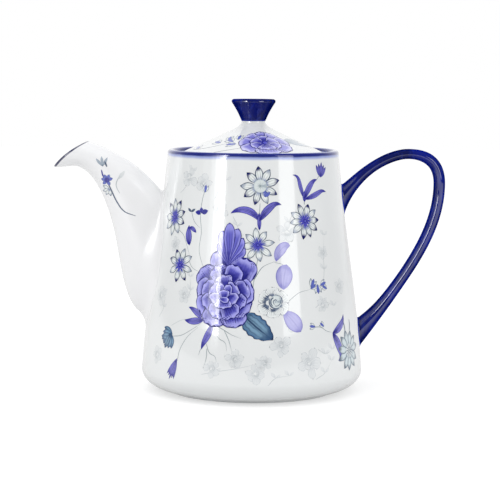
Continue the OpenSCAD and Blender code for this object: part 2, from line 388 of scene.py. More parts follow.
bareSet = {"roughness": 0.7, "coat": 0.0, "coatRoughness": 0.1, "ior": 1.5, "color": hexColor("#d9d3c8"),
           "speck": hexColor("#b9b0a2"), "speckShare": 0.5, "grit": (1400.0, 3.0), "relief": 0.00005}


def makeBarePorcelain(c):
    material, tree, shader = newFinish("barePorcelain", c)
    grit = noiseAt(tree, *c["grit"])
    wire(blendColor(times(grit, c["speckShare"]), c["color"], c["speck"]), shader.inputs["Base Color"])
    addBump(shader, grit, c["relief"])
    return material


cobaltSet = {"deep": hexColor("#040d48"), "body": hexColor("#0a1a80"), "thin": hexColor("#2a3fb0"),
             "drift": 0.25, "roughness": 0.1, "coat": 1.0, "coatRoughness": 0.01, "ior": 1.5, "level": 0.0,
             "wave": 0.00002, "coatIor": 1.95, "poolNoise": 45.0, "pools": (0.3, 0.7),
             "streakNoise": (380.0, 3.0), "streaksAndSheen": (0.5, 0.8), "streakSheenShare": 0.4,
             "streakStretch": (1.0, 1.0, 0.35), "seatLine": (0.1, 0.9, 0.5),
             "turned": (0.24, 0.52),  # between these shares of turning away the coat's mirror fades out
             "under": (-0.4, -0.1), "underCoat": 0.2}  # what looks down, at the white lid, keeps little of it


def makeCobaltGlaze(c):  # pooled deep blue, thinner and brighter in vertical streaks, which are partly thin glaze and partly a painted reflection
    material, tree, shader = newFinish("cobaltGlaze", c)
    stretch = addNode(tree, "Mapping")
    wire(c["streakStretch"], stretch.inputs["Scale"])
    wire(objectSpot(tree), stretch.inputs[0])
    # the lighter vertical streaks are partly thinner glaze and partly a painted reflection
    streaksAndSheen = stepBetween(noiseAt(tree, *c["streakNoise"], stretch.outputs[0]), *c["streaksAndSheen"])
    color = blendColor(stepBetween(noiseAt(tree, c["poolNoise"]), *c["pools"]), c["deep"], c["body"])
    color = blendColor(times(streaksAndSheen, c["streakSheenShare"]), color, c["thin"])
    color = blendColor(bandMask(readAttribute(tree, "seatGap"), *c["seatLine"]), color, c["thin"])
    addSkin(shader, color, c["drift"], c["wave"])
    wire(c["coatIor"], shader.inputs["Coat IOR"])
    turned = addNode(tree, "LayerWeight")
    wire(0.5, turned.inputs["Blend"])
    coat = timesPlus(stepBetween(turned.outputs["Facing"], *c["turned"]), -c["coat"], c["coat"])
    normal = splitUp(addNode(tree, "NewGeometry").outputs["Normal"])
    raised = timesPlus(stepBetween(normal["Z"], *c["under"]), 1 - c["underCoat"], c["underCoat"])
    wire(times(coat, raised), shader.inputs["Coat Weight"])
    return material


# how every petal is filled in: noise of the brush, then the places along and across it where tones change
petalSet = {"grain": (420.0, 3.0), "washGrain": 0.35, "deepSpan": 0.3, "roundTip": (0.5, 1.0),
            "edgeGrain": 0.3, "edge": (0.45, 0.95), "tip": (0.58, 0.86), "veinGrain": 1.6, "veinThin": 5.0,
            "veinFade": (0.35, 0.97), "ribWidth": (0.03, 0.14), "ribFade": (0.6, 0.98), "sideFade": -0.35,
            "endWidth": -0.45, "endFade": -0.15, "lineGrain": 0.9, "lineMean": 0.95}


def makePetalInk(c):  # a painted petal or leaf: U runs from its base to its tip, V from edge to edge
    tree, given, out = addGroup("petalInk", {
        "Base": None, "Body": None, "Edge": None, "Tip": None, "Line": None, "Deep": 0.45, "Tipped": 0.0,
        "Line Width": 0.12, "Line Strength": 0.8, "Veins": 9.0, "Vein Strength": 0.25, "Rib": 0.0},
        {"Color": "Color"})
    along, across = splitUp(addNode(tree, "UVMap", uv_map="UVMap").outputs[0])[:2]
    grain = minus(noiseAt(tree, *c["grain"]), 0.5)
    off = calc("ABSOLUTE", timesPlus(across, 2.0, -1.0))  # 0 on the middle line, 1 at both edges
    washed = timesPlus(grain, c["washGrain"], along)
    body = blendColor(stepBetween(washed, given["Deep"], calc("ADD", given["Deep"], c["deepSpan"])),
                      given["Base"], given["Body"])
    rim = calc("MAXIMUM", off, stepBetween(along, *c["roundTip"]))
    body = blendColor(stepBetween(timesPlus(grain, c["edgeGrain"], rim), *c["edge"]), body, given["Edge"])
    body = blendColor(times(stepBetween(washed, *c["tip"]), given["Tipped"]), body, given["Tip"])
    fan = times(times(across, times(given["Veins"], fullTurn)), 0.5)
    ridges = calc("POWER", calc("ABSOLUTE", calc("COSINE", timesPlus(grain, c["veinGrain"], fan))),
                  c["veinThin"])
    fade = minus(1.0, stepBetween(along, *c["veinFade"]))
    body = blendColor(times(times(ridges, fade), given["Vein Strength"]), body, given["Line"])
    rib = times(minus(1.0, stepBetween(off, *c["ribWidth"])), given["Rib"])
    body = blendColor(times(rib, minus(1.0, stepBetween(along, *c["ribFade"]))), body, given["Line"])
    width = given["Line Width"]
    sideLine = stepBetween(off, minus(1.0, width), timesPlus(width, c["sideFade"], 1.0))
    endLine = stepBetween(along, timesPlus(width, c["endWidth"], 1.0), timesPlus(width, c["endFade"], 1.0))
    line = times(calc("MAXIMUM", sideLine, endLine), given["Line Strength"])
    patchy = times(line, timesPlus(grain, c["lineGrain"], c["lineMean"]))
    body = blendColor(patchy, body, given["Line"])
    wire(scaleColor(body, readAttribute(tree, "tone")), out["Color"])
    return tree


petalInk = makePetalInk(petalSet)
# the inks of petals, leaves and strokes: base, body, edge, tip and line colours, how deep the base colour
# reaches, the line's width and strength, number and strength of the veins; some have a coloured tip or a rib
inkSet = {
    "violetPetal": (("#232284", "#5c5abe", "#a9a8ee", "#a9a8ee", "#26257c"), 0.5, 0.05, 0.6, 9, 0.55),
    "scoopPetal": (("#35349c", "#7472cc", "#bab9f4", "#bab9f4", "#33328c"), 0.42, 0.06, 0.6, 7, 0.42),
    "lidPetal": (("#4341aa", "#8f8ddc", "#cdccf6", "#cdccf6", "#403f98"), 0.36, 0.08, 0.75, 7, 0.5),
    "wingPetal": (("#35349a", "#6a69ca", "#9a99e6", "#9a99e6", "#2c2b84"), 0.14, 0.08, 0.8, 4, 0.8),
    "starPetal": (("#8f9cc0", "#f0f4f2", "#d3dedf", "#6b7a9e", "#2f3f58"), 0.12, 0.3, 1.0, 3, 0.3, 0.6),
    "tippedPetal": (("#8f9cc0", "#eef3f1", "#cfdbde", "#1c1f64", "#28365a"), 0.12, 0.3, 1.0, 3, 0.36, 1.0),
    "tealStarPetal": (("#a9bcc8", "#cfdce0", "#a9bcc6", "#2e4260", "#52657a"), 0.02, 0.26, 0.9, 1, 0.4, 0.8),
    "violetLeaf": (("#2b2a8c", "#7f7cd2", "#6361c0", "#2e2c90", "#201f74"),
                   0.1, 0.14, 0.9, 3, 0.7, 0.8, 0.85),
    "softLeaf": (("#8a88cc", "#b3b1e2", "#a19fd9", "#7371c0", "#5d5bae"), 0.06, 0.12, 0.6, 3, 0.15, 0.4, 0.3),
    "tealLeaf": (("#27436c", "#7ba0bc", "#4d7198", "#223e68", "#1a3258"), 0.05, 0.14, 0.9, 5, 0.55, 0.6, 0.9),
    "greyLeaf": (("#8b98a8", "#b4bfca", "#aab6c4", "#8d99ac", "#6a7688"), 0.02, 0.16, 0.7, 4, 0.4, 0.0, 0.4),
    "paleLeaf": (("#a8a6da", "#c9c6ec", "#c0bee6", "#b4b2e0", "#8a88c0"), 0.05, 0.1, 0.5, 3, 0.12, 0.0, 0.2),
    "whitePetal": (("#75839a", "#e6eaea", "#eef1f1", "#eef1f1", "#4e5c70"), 0.16, 0.1, 0.85, 6, 0.3),
    "heart": (("#2c2c92", "#4646b6", "#6a69cc", "#6a69cc", "#232384"), 0.1, 0.3, 0.7, 12, 0.4),
    "paleHeart": (("#a9b6c0", "#dde4e4", "#d3dcde", "#d3dcde", "#93a2ae"), 0.02, 0.16, 0.7, 8, 0.2),
    "blueBud": (("#3d4aa0", "#5f6cc0", "#8b98d4", "#3a3f90", "#39427e"), 0.02, 0.26, 0.7, 1, 0.2, 0.4),
    "gapInk": (("#1c1b68", "#1e1d6e", "#232278", "#232278", "#191862"), 0.0, 0.1, 0.2, 8, 0.2),
    "stemInk": (("#86949a", "#93a0a5", "#a2adb0", "#a2adb0", "#77868c"), 0.0, 0.3, 0.3, 1, 0.0),
    "slateInk": (("#465470", "#55637c", "#66748a", "#66748a", "#3c4862"), 0.0, 0.3, 0.3, 1, 0.0),
    "blueInk": (("#26267e", "#2f3090", "#4a4aa8", "#4a4aa8", "#222270"), 0.0, 0.3, 0.4, 1, 0.0),
    "violetInk": (("#4c4cc0", "#5c5ccc", "#7776d8", "#7776d8", "#4544b4"), 0.0, 0.3, 0.2, 1, 0.0),
    "starInk": (("#3231a6", "#403fb4", "#5756c4", "#5756c4", "#2c2b9a"), 0.0, 0.3, 0.2, 1, 0.0),
    "paleInk": (("#c0c8ca", "#c8cfd0", "#d0d6d8", "#d0d6d8", "#b4bdc0"), 0.0, 0.3, 0.2, 1, 0.0),
    "ghostInk": (("#bcc2c6", "#c2c8cb", "#ccd1d3", "#ccd1d3", "#b6bcc0"), 0.0, 0.3, 0.2, 1, 0.0),
    "ghostPetal": (("#d6dadc", "#e2e5e6", "#e2e5e6", "#e2e5e6", "#bcc2c7"), 0.2, 0.14, 0.8, 4, 0.3),
}
inkColors = ("Base", "Body", "Edge", "Tip", "Line")
inkValues = ("Deep", "Line Width", "Line Strength", "Veins", "Vein Strength", "Tipped", "Rib")
inkDrift = 0.03


def makeInk(name, colors, *values):
    material, tree, shader = newFinish(name)
    look = {label: hexColor(color) for label, color in zip(inkColors, colors)}
    look.update(zip(inkValues, values))
    addSkin(shader, useGroup(tree, petalInk, look)["Color"], inkDrift, glossSet["wave"])
    return material


inkNames = list(inkSet)
inks = [makeInk(name, *inkSet[name]) for name in inkNames]
whiteGlaze, spoutGlaze = makeWhiteGlaze(), makeSpoutGlaze(spoutSet)
cobaltGlaze, barePorcelain = makeCobaltGlaze(cobaltSet), makeBarePorcelain(bareSet)
print("finishes ready")


# mesh helpers
weldGap = 0.002 * mm
holeSet = {"segments": 32, "sharpAngle": 38}


def addObject(name, bm, materials=()):
    mesh = bpy.data.meshes.new(name)
    bm.to_mesh(mesh)
    bm.free()
    for material in materials:
        mesh.materials.append(material)
    return placeInScene(name, mesh)


def addPiece(name, bm, body, materials, replacing=()):
    piece = addObject(name, bm, materials)
    piece.data.shade_smooth()
    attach(piece, body)
    if replacing:
        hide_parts(*replacing)
    return piece


def turnOutline(points, corners, steps):  # corners: which point of the chain is rounded, size, segments
    bm = bmesh.new()
    verts = [bm.verts.new((r * mm, 0, z * mm)) for r, z in points]
    for a, b in zip(verts, verts[1:]):
        bm.edges.new((a, b))
    for index, size, segments in corners:
        bmesh.ops.bevel(bm, geom=[verts[index]], offset=size * mm, offset_type="OFFSET", segments=segments,
                        profile=0.5, affect="VERTICES", material=-1)
    bmesh.ops.spin(bm, geom=bm.verts[:] + bm.edges[:], cent=(0, 0, 0), axis=(0, 0, 1), angle=fullTurn,
                   steps=steps, use_merge=True)
    bmesh.ops.remove_doubles(bm, verts=bm.verts, dist=weldGap)
    bmesh.ops.recalc_face_normals(bm, faces=bm.faces)
    return bm


def leaveBare(bm, isBare):  # the faces of which isBare(middle, upward) is true stay unglazed
    for face in bm.faces:
        if isBare(face.calc_center_median() / mm, face.normal.z):
            face.material_index = 1


def cutHoles(piece, places, direction, diameter, depth):  # round holes through a piece, each about its place
    bm = bmesh.new()
    turn = Vector(direction).to_track_quat("Z", "Y").to_matrix().to_4x4()
    for place in places:
        bmesh.ops.create_cone(bm, cap_ends=True, segments=holeSet["segments"], radius1=diameter / 2 * mm,
                              radius2=diameter / 2 * mm, depth=depth * mm,
                              matrix=Matrix.Translation(Vector(place) * mm) @ turn)
    drill = addObject("drill", bm)
    cut = piece.modifiers.new("holes", "BOOLEAN")
    cut.operation, cut.solver, cut.object = "DIFFERENCE", "EXACT", drill
    bpy.context.view_layer.update()
    piece.data = bpy.data.meshes.new_from_object(piece.evaluated_get(bpy.context.evaluated_depsgraph_get()))
    piece.modifiers.clear()
    bpy.data.objects.remove(drill)
    piece.data.set_sharp_from_angle(angle=math.radians(holeSet["sharpAngle"]))


def gridRows(bm, paths, layer=None, values=None):
    # a closed skin over paths side by side, values at its points
    count, rows = len(paths), len(paths[0])
    made = bmesh.ops.create_grid(bm, x_segments=rows - 1, y_segments=count, size=0.5, calc_uvs=False)["verts"]
    for vert in made:
        row = round((vert.co.x + 0.5) * (rows - 1))
        side = round((vert.co.y + 0.5) * count) % count
        vert.co = paths[side][row] * mm
        if layer:
            vert[layer] = values[side][row]


# the pot
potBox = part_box("collar")
potShape = {"rimHeight": potBox[1].z / mm, "rimRadius": 47.5, "bellyRadius": 61.58, "bellyHeight": 12,
            "cornerWidth": 17, "taper": 2.4, "flare": 2.8, "wall": 3.2, "floor": 4.4, "floorRound": 0.7,
            "footRadius": 47, "footWidth": 3, "footRecess": 1.6, "footLift": 0.8, "footRound": 0.45,
            "footSlant": 0.5, "rimRound": 1.5, "sideStop": 2, "seatDepth": 6.2,
            "seatRound": (0.5, 0.8, 0.8, 1.2), "ledgeWidth": 4.3, "ledgeThick": 3, "turnSteps": 224,
            "sideRows": 46, "cornerRows": 20, "insideRows": 30, "bowlRows": 14}
strainer = {"diameter": 4.8, "pitch": 7.6, "rows": 7, "height": 71.05, "depth": 18}
seatRadius = potShape["rimRadius"] - potShape["wall"]
seatHeight = potShape["rimHeight"] - potShape["seatDepth"]


def wallRadius(z, p=potShape):
    up = clamp((z - p["bellyHeight"]) / (p["rimHeight"] - p["bellyHeight"]))
    return cubic([p["bellyRadius"], p["bellyRadius"] - p["taper"], p["rimRadius"] + p["flare"],
                  p["rimRadius"]], up)


def cornerCurve(p, sideRadius, lowZ, highZ, fromAngle, steps):
    core = p["bellyRadius"] - p["cornerWidth"]
    angles = [math.radians(mix(fromAngle, 90, i / steps)) for i in range(steps + 1)]
    return [(core + (sideRadius - core) * math.sin(a), highZ - (highZ - lowZ) * math.cos(a)) for a in angles]


def makePot(p):
    core = p["bellyRadius"] - p["cornerWidth"]
    footAngle = math.degrees(math.asin((p["footRadius"] - core) / p["cornerWidth"]))
    mouthRadius = seatRadius - p["ledgeWidth"]
    ledgeLow = seatHeight - p["ledgeThick"]
    braceLow = ledgeLow - (wallRadius(ledgeLow) - p["wall"] - mouthRadius)
    innerCorner = p["bellyHeight"] + p["floor"] * p["floorRound"]
    floorTop = p["footRecess"] + p["floor"]
    footIn = p["footRadius"] - p["footWidth"]
    foot = [(0, p["footRecess"]), (footIn - p["footSlant"], p["footRecess"]), (footIn, 0),
            (p["footRadius"], 0)]
    corner = cornerCurve(p, p["bellyRadius"], p["footLift"], p["bellyHeight"], footAngle, p["cornerRows"])
    sideTop, sideRows, insideRows = p["rimHeight"] - p["sideStop"], p["sideRows"], p["insideRows"]
    side = [mix(p["bellyHeight"], sideTop, i / sideRows) for i in range(1, sideRows + 1)]
    inside = [mix(braceLow, innerCorner, i / insideRows) for i in range(insideRows + 1)]
    rim = [(p["rimRadius"], p["rimHeight"]), (seatRadius, p["rimHeight"])]
    seat = [(seatRadius, seatHeight), (mouthRadius, seatHeight), (mouthRadius, ledgeLow)]
    bowl = cornerCurve(p, wallRadius(innerCorner) - p["wall"], floorTop, innerCorner, 0, p["bowlRows"])
    points = (foot + corner + [(wallRadius(z), z) for z in side] + rim + seat
              + [(wallRadius(z) - p["wall"], z) for z in inside] + bowl[-2::-1] + [(0, floorTop)])
    rimAt = len(foot) + len(corner) + len(side)
    corners = [(2, p["footRound"], 3), (3, p["footRound"], 3), (rimAt, p["rimRound"], 7),
               (rimAt + 1, p["rimRound"], 7)]
    corners += [(rimAt + 2 + i, size, 4 if i else 3) for i, size in enumerate(p["seatRound"])]
    bm = turnOutline(points, corners, p["turnSteps"])
    leaveBare(bm, lambda spot, upward: abs(upward) > 0.9 and (
        spot.z < 0.2 or abs(spot.z - seatHeight) < 0.1 and spot.xy.length > mouthRadius))
    glaze = makePotGlaze(whiteSet, p["rimHeight"] * mm, (p["rimRadius"] - p["wall"] / 2) * mm)
    pot = addPiece("pot_glazed", bm, "pot", [glaze, barePorcelain], ["pot", "base", "collar"])
    holes = []
    for row in range(strainer["rows"]):
        odd = row % 2  # every second row sits between the holes of the row below
        rise = (row - (strainer["rows"] - 1) / 2) * strainer["pitch"] * math.sin(math.radians(60))
        z = strainer["height"] + rise
        holes += [(-wallRadius(z), (col + odd / 2) * strainer["pitch"], z) for col in range(-1, 2 - odd)]
    cutHoles(pot, holes, (1, 0, 0), strainer["diameter"], strainer["depth"])


makePot(potShape)
print("pot made")


# the spout
spoutShape = {"tip": (-111.4, 124.0), "lipLength": 24.2, "lipAngle": 37, "lipBow": 1.3, "lipWidth": 17,
              "rootTop": 103.5, "rootLow": 38.6, "rootWidth": 31, "waistHeight": 84, "waistOut": 23.1,
              "chin": (0.54, 0.017), "wall": 2.8, "lipThick": 2.0, "lipStart": 0.985, "bite": 5,
              "rootFlare": 4, "flareEnd": 0.2, "narrow": (0.42, 0.44), "fillet": 3.6, "fillUnder": 0.8,
              "filletRise": 1.2, "filletRows": 7, "around": 72, "rows": 70, "lipRows": 6,
              # how each curve bends: shares across and up of its two inner handles
              "topBend": ((0.26, 0.51), (0.56, 0.81)), "rootBend": ((0.7, 0.08), (0.78, 0.38)),
              "throatBend": ((0.18, 0.5), (0.54, 0.955)), "chinBend": ((0.25, -1.2), (0.6, 2.8))}


def spoutCurves(c):
    tip = Vector(c["tip"])
    angle = math.radians(c["lipAngle"])
    lipTop = tip + Vector((math.cos(angle), math.sin(angle))) * c["lipLength"]
    rootTop, rootLow = [(-(wallRadius(c[z]) - c["bite"]), c[z]) for z in ("rootTop", "rootLow")]
    waist = (-(wallRadius(c["waistHeight"]) + c["waistOut"]), c["waistHeight"])
    chin = tip + Vector(c["chin"]) * c["lipLength"]
    lows = [bend(rootLow, waist, *c["rootBend"]), bend(waist, chin, *c["throatBend"]),
            bend(chin, tip, *c["chinBend"])]
    return bend(rootTop, lipTop, *c["topBend"]), lows


spoutTop, spoutLows = spoutCurves(spoutShape)
spoutJoints = (0, 0.45, 0.85, 1)  # where along the spout one bend passes to the next


def spoutSpan(s):  # top and underside of the spout at s, from the pot at 0 to the lip at 1
    k = 0 if s < spoutJoints[1] else 1 if s < spoutJoints[2] else 2
    low = cubic(spoutLows[k], (s - spoutJoints[k]) / (spoutJoints[k + 1] - spoutJoints[k]))
    return cubic(spoutTop, s), low


def spoutPoint(s, angle, inset=0.0, c=spoutShape):
    top, low = spoutSpan(s)
    middle, half = (top + low) / 2, (top - low) / 2
    nearRoot, nearLip = c["narrow"]
    width = cubic([c["rootWidth"] / 2, c["rootWidth"] * nearRoot, c["lipWidth"] * nearLip,
                   c["lipWidth"] / 2], s)
    width += c["rootFlare"] * (1 - clamp(s / c["flareEnd"])) ** 2
    lip = math.radians(c["lipAngle"])
    bow = Vector((-math.sin(lip), math.cos(lip))) * (c["lipBow"] * s ** 6 * math.sin(angle) ** 2)
    p = middle + half.normalized() * ((half.length - inset) * math.cos(angle)) + bow
    return Vector((p.x, (width - inset) * math.sin(angle), p.y))


def outsidePot(point):  # how far a point stands off the pot's wall
    return point.xy.length - wallRadius(point.z)


def filletFoot(onWall, centre, reach):
    # the place on the pot's wall that lies reach beyond a point of the joint
    around, rise = math.atan2(onWall.y, onWall.x), onWall.z
    radius = wallRadius(rise)
    turned = (around - centre[0] + math.pi) % fullTurn - math.pi
    away = Vector((turned * radius, rise - centre[1])).normalized() * reach
    z = rise + away.y
    r = wallRadius(z) - 0.04  # a little inside the wall, so that no gap shows
    a = around + away.x / radius
    return Vector((r * math.cos(a), r * math.sin(a), z))


def filletCurve(start, corner, foot, rows):  # from the pot's wall up to the limb, tangent to both
    return [foot * (1 - t) ** 2 + corner * (2 * t * (1 - t)) + start * t * t
            for t in [i / rows for i in range(rows)]]


def paceAt(point, s, angle, step):  # how far a limb's point moves along it for each unit of s
    return (point(s + step, angle) - point(s, angle)).length / abs(step)


def spoutPath(c, angle, centre):  # up the outside from the pot's wall, over the lip and down the channel
    wallAt, innerAt = [findRoot(lambda s: outsidePot(spoutPoint(s, angle, inset)), 0.0, 0.4)
                       for inset in (0.0, c["wall"])]
    onWall = spoutPoint(wallAt, angle)
    reach = c["fillet"] * (1 + c["fillUnder"] * max(0, -math.cos(angle)))
    clear = wallAt + reach * c["filletRise"] / paceAt(spoutPoint, wallAt, angle, nudge)
    foot = filletFoot(onWall, centre, reach)
    path = filletCurve(spoutPoint(clear, angle), onWall, foot, c["filletRows"])
    path += [spoutPoint(mix(clear, c["lipStart"], k / c["rows"]), angle) for k in range(c["rows"] + 1)]
    for k in range(1, c["lipRows"]):
        turn = math.pi * k / c["lipRows"]
        inset = c["lipThick"] / 2 * (1 - math.cos(turn))
        path.append(spoutPoint(mix(c["lipStart"], 1, math.sin(turn)), angle, inset))
    for k in range(c["rows"] // 2 + 1):
        s = mix(c["lipStart"], innerAt, 2 * k / c["rows"])
        path.append(spoutPoint(s, angle, mix(c["wall"], c["lipThick"], s)))
    return path


def makeSpout(c):
    centre = (math.pi, (c["rootTop"] + c["rootLow"]) / 2)
    paths = [spoutPath(c, fullTurn * i / c["around"], centre) for i in range(c["around"])]
    lipRow = c["filletRows"] + c["rows"] + c["lipRows"] // 2
    gaps = []
    for path in paths:
        along = [0.0]
        for a, b in zip(path, path[1:]):
            along.append(along[-1] + (b - a).length)
        gaps.append([abs(x - along[lipRow]) for x in along])
    bm = bmesh.new()
    gridRows(bm, paths, bm.verts.layers.float.new("lipGap"), gaps)
    bmesh.ops.remove_doubles(bm, verts=bm.verts, dist=weldGap)
    bmesh.ops.bridge_loops(bm, edges=[e for e in bm.edges if e.is_boundary])
    bmesh.ops.recalc_face_normals(bm, faces=bm.faces)
    addPiece("spout_glazed", bm, "pot", [spoutGlaze], ["spout"])


makeSpout(spoutShape)
print("spout made")


# the handle
handleShape = {"reach": 56.3, "crestAt": 0.69, "crestDrop": 1.9, "turnDrop": 18.5, "strapThick": 6.4,
               "crestThick": 5.6, "strapWidth": 11.6, "rootThick": 8, "topDrop": 28, "lowHeight": 31.5,
               "bite": 5, "biteShares": (0.5, 0.6), "rootFrom": 0.6, "spread": 4, "swell": 4.5, "fillet": 1.3,
               "filletRise": 1.4, "around": 40, "rows": 150, "filletRows": 5,
               # how each curve bends: shares across and up of its two inner handles
               "bends": (((0.16, 0.585), (0.68, 1)), ((0.49, 0), (1, 0.2)), ((0, 0.313), (0.393, 0.58)))}


def handleCurves(c, p=potShape):
    rimR, rimH = p["rimRadius"], p["rimHeight"]
    crest = (rimR + c["crestAt"] * c["reach"], rimH - c["crestDrop"])
    turn = (rimR + c["reach"], rimH - c["turnDrop"])
    biteTop, biteLow = c["biteShares"]
    gripTop = (wallRadius(rimH - c["topDrop"]) - c["bite"] * biteTop, rimH - c["topDrop"] - c["bite"])
    gripLow = (wallRadius(c["lowHeight"]) - c["bite"] * biteLow, c["lowHeight"] - c["bite"])
    ends = ((gripTop, crest), (crest, turn), (turn, gripLow))
    return [bend(a, b, *inner) for (a, b), inner in zip(ends, c["bends"])]


strapLines = handleCurves(handleShape)


def strapPoint(s, angle, c=handleShape):  # s runs from 0 at the top root to 3 at the low one
    k = min(2, int(max(s, 0)))
    t = s - k
    line = strapLines[k]
    held = clamp(t)
    slope = (cubic(line, min(held + nudge, 1)) - cubic(line, max(held - nudge, 0))).normalized()
    nearTop = ease(1 - t / c["rootFrom"]) if k == 0 else 0
    nearLow = ease((t - c["rootFrom"]) / (1 - c["rootFrom"])) if k == 2 else 0
    arch = (1, ease(1 - t / c["rootFrom"]), 0)[k]
    swell = c["swell"] * (nearTop ** 4 + nearLow ** 4)  # clay that fills the narrow angle above each root
    thick = mix(mix(c["strapThick"], c["crestThick"], arch), c["rootThick"], max(nearTop, nearLow)) + swell
    width = c["strapWidth"] + c["spread"] * (nearTop ** 2 + nearLow ** 2)
    up = Vector((-slope.y, slope.x))
    p = cubic(line, t) + up * (thick / 2 * math.cos(angle) + (swell / 2 if k == 0 else -swell / 2))
    return Vector((p.x, -width / 2 * math.sin(angle), p.y))


def makeHandle(c):
    angles = [fullTurn * i / c["around"] for i in range(c["around"])]
    tops = [findRoot(lambda s: outsidePot(strapPoint(s, angle)), -0.15, 0.5) for angle in angles]
    lows = [3 - findRoot(lambda s: outsidePot(strapPoint(3 - s, angle)), -0.1, 0.4) for angle in angles]
    topZ, lowZ = [sum(strapPoint(s, angle).z for s, angle in zip(found, angles)) / c["around"]
                  for found in (tops, lows)]
    rise = c["fillet"] * c["filletRise"]
    paths = []
    for angle, top, low in zip(angles, tops, lows):
        start = top + rise / paceAt(strapPoint, top, angle, nudge)
        end = low - rise / paceAt(strapPoint, low, angle, -nudge)
        fillets = []
        for s, wallAt, z in ((start, top, topZ), (end, low, lowZ)):
            onWall = strapPoint(wallAt, angle)
            foot = filletFoot(onWall, (0, z), c["fillet"])
            fillets.append(filletCurve(strapPoint(s, angle), onWall, foot, c["filletRows"]))
        middle = [strapPoint(mix(start, end, k / c["rows"]), angle) for k in range(c["rows"] + 1)]
        paths.append(fillets[0] + middle + fillets[1][::-1])
    bm = bmesh.new()
    layer = bm.verts.layers.float.new("seatGap")
    gridRows(bm, paths)
    for vert in bm.verts:
        vert[layer] = abs(outsidePot(vert.co / mm))
    bmesh.ops.remove_doubles(bm, verts=bm.verts, dist=weldGap)
    bmesh.ops.holes_fill(bm, edges=[e for e in bm.edges if e.is_boundary], sides=0)
    bmesh.ops.recalc_face_normals(bm, faces=bm.faces)
    return addPiece("handle_glazed", bm, "pot", [cobaltGlaze], ["handle"])


strap = makeHandle(handleShape)
strap.visible_glossy = False  # keeps its mirror image off the pot's side
print("handle made")


# the lid and its knob
lidShape = {"gap": 0.6, "edgeThick": 2.6, "slope": 0.455, "neckHeight": 6.8, "waistRadius": 6.6,
            "coneIn": 16.0, "thick": 3, "crownWidth": 5, "flangeHeight": 12, "flangeThick": 2.6,
            "ventDiameter": 3.4, "ventRadius": 23, "ventDepth": 16, "neckBend": ((0, 0.3), (2, 0.53)),
            "neckRows": 18, "coneRows": 14, "turnSteps": 192}
lidRadius = seatRadius - lidShape["gap"]
lidEdgeTop = seatHeight + lidShape["edgeThick"]


def coneHeight(r):
    return lidEdgeTop + (lidRadius - r) * lidShape["slope"]


neckTop = coneHeight(lidShape["coneIn"]) + lidShape["neckHeight"]


def makeLid(c):
    flange = seatRadius - potShape["ledgeWidth"] - c["gap"]
    flangeIn = flange - c["flangeThick"]
    flangeLow = seatHeight - c["flangeHeight"]
    curve = [Vector((c["waistRadius"] + out, neckTop - fall * c["neckHeight"]))
             for out, fall in ((0, 0), *c["neckBend"])]
    curve.append(Vector((c["coneIn"], coneHeight(c["coneIn"]))))
    neck = [tuple(cubic(curve, i / c["neckRows"])) for i in range(c["neckRows"] + 1)]
    radii = [mix(c["coneIn"], lidRadius, i / c["coneRows"]) for i in range(1, c["coneRows"] + 1)]
    crownRadius = c["waistRadius"] + c["crownWidth"]
    drop = c["thick"] * math.hypot(1, c["slope"])
    points = [(0, neckTop)] + neck + [(r, coneHeight(r)) for r in radii] + [
        (lidRadius, seatHeight), (flange, seatHeight), (flange, flangeLow), (flangeIn, flangeLow),
        (flangeIn, coneHeight(flangeIn) - drop), (crownRadius, coneHeight(crownRadius) - drop),
        (0, coneHeight(crownRadius) - drop)]
    edgeAt = len(neck) + len(radii)
    corners = [(edgeAt + i, size, segments) for i, size, segments in (
        (0, 1.0, 6), (1, 0.5, 3), (3, 0.8, 4), (4, 0.8, 4), (5, 1.5, 4), (6, 3, 5))]
    bm = turnOutline(points, corners, c["turnSteps"])
    leaveBare(bm, lambda spot, upward: upward < -0.9 and abs(spot.z - seatHeight) < 0.1
              and spot.xy.length > flange)
    lid = addPiece("lid_glazed", bm, "lid", [whiteGlaze, barePorcelain], ["lid", "flange"])
    vent = (0, c["ventRadius"], coneHeight(c["ventRadius"]))
    cutHoles(lid, [vent], (0, 0, 1), c["ventDiameter"], c["ventDepth"])


knobShape = {"radius": 12.2, "height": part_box("knob")[1].z / mm - neckTop, "edge": 1.35, "edgeRoom": 1.2,
             "shoulder": 0.8, "hollow": 0.35, "dish": 0.3, "sideRows": 20, "turnSteps": 160}


def makeKnob(c):
    top = neckTop + c["height"]
    sideHeight = c["height"] - c["edgeRoom"] * c["edge"]
    side = []
    for i in range(c["sideRows"] + 1):
        t = i / c["sideRows"]
        r = mix(lidShape["waistRadius"], c["radius"], t) - c["hollow"] * math.sin(math.pi * t)
        side.append((r, neckTop + sideHeight * t))
    points = [(0, neckTop)] + side + [(c["radius"], top), (c["radius"] / 2, top - c["dish"] / 2),
                                      (0, top - c["dish"])]
    corners = ((len(side) + 1, c["edge"], 8), (len(side), c["shoulder"], 4))
    bm = turnOutline(points, corners, c["turnSteps"])
    layer = bm.verts.layers.float.new("seatGap")
    for vert in bm.verts:
        vert[layer] = vert.co.z / mm - neckTop
    addPiece("knob_glazed", bm, "lid", [cobaltGlaze], ["knob"])


makeLid(lidShape)
makeKnob(knobShape)
print("lid and knob made")


# painting: every petal, leaf and stroke is a thin skin that follows the ware
# step is the gap between one level and the next, lifts say how far each layer lies off the glaze
paintSet = {"step": 0.006, "stemWidth": 0.42, "weld": 0.004, "spineSteps": 24, "petalCell": (1.1, 1.3),
            "strokeCell": 0.9, "hookFrom": 0.6,
            # a ruffled petal: how much of the ruffle goes into its length, its waves there, the edges' shift
            "endRuffle": 0.35, "endTeeth": 15, "edgeShift": 3,
            "lifts": {"ghosts": 0.03, "sprigs": 0.045, "leaves": 0.065, "stars": 0.095, "blooms": 0.13},
            "roseLift": 0.085, "lidLift": 0.035, "lidRoseLift": 0.03, "spoutLift": 0.035}


def onPot(a, b, lift):  # a is the angle round the pot from its front, in radians, and b the height
    r = wallRadius(b) + lift
    return Vector((r * math.sin(a), -r * math.cos(a), b))


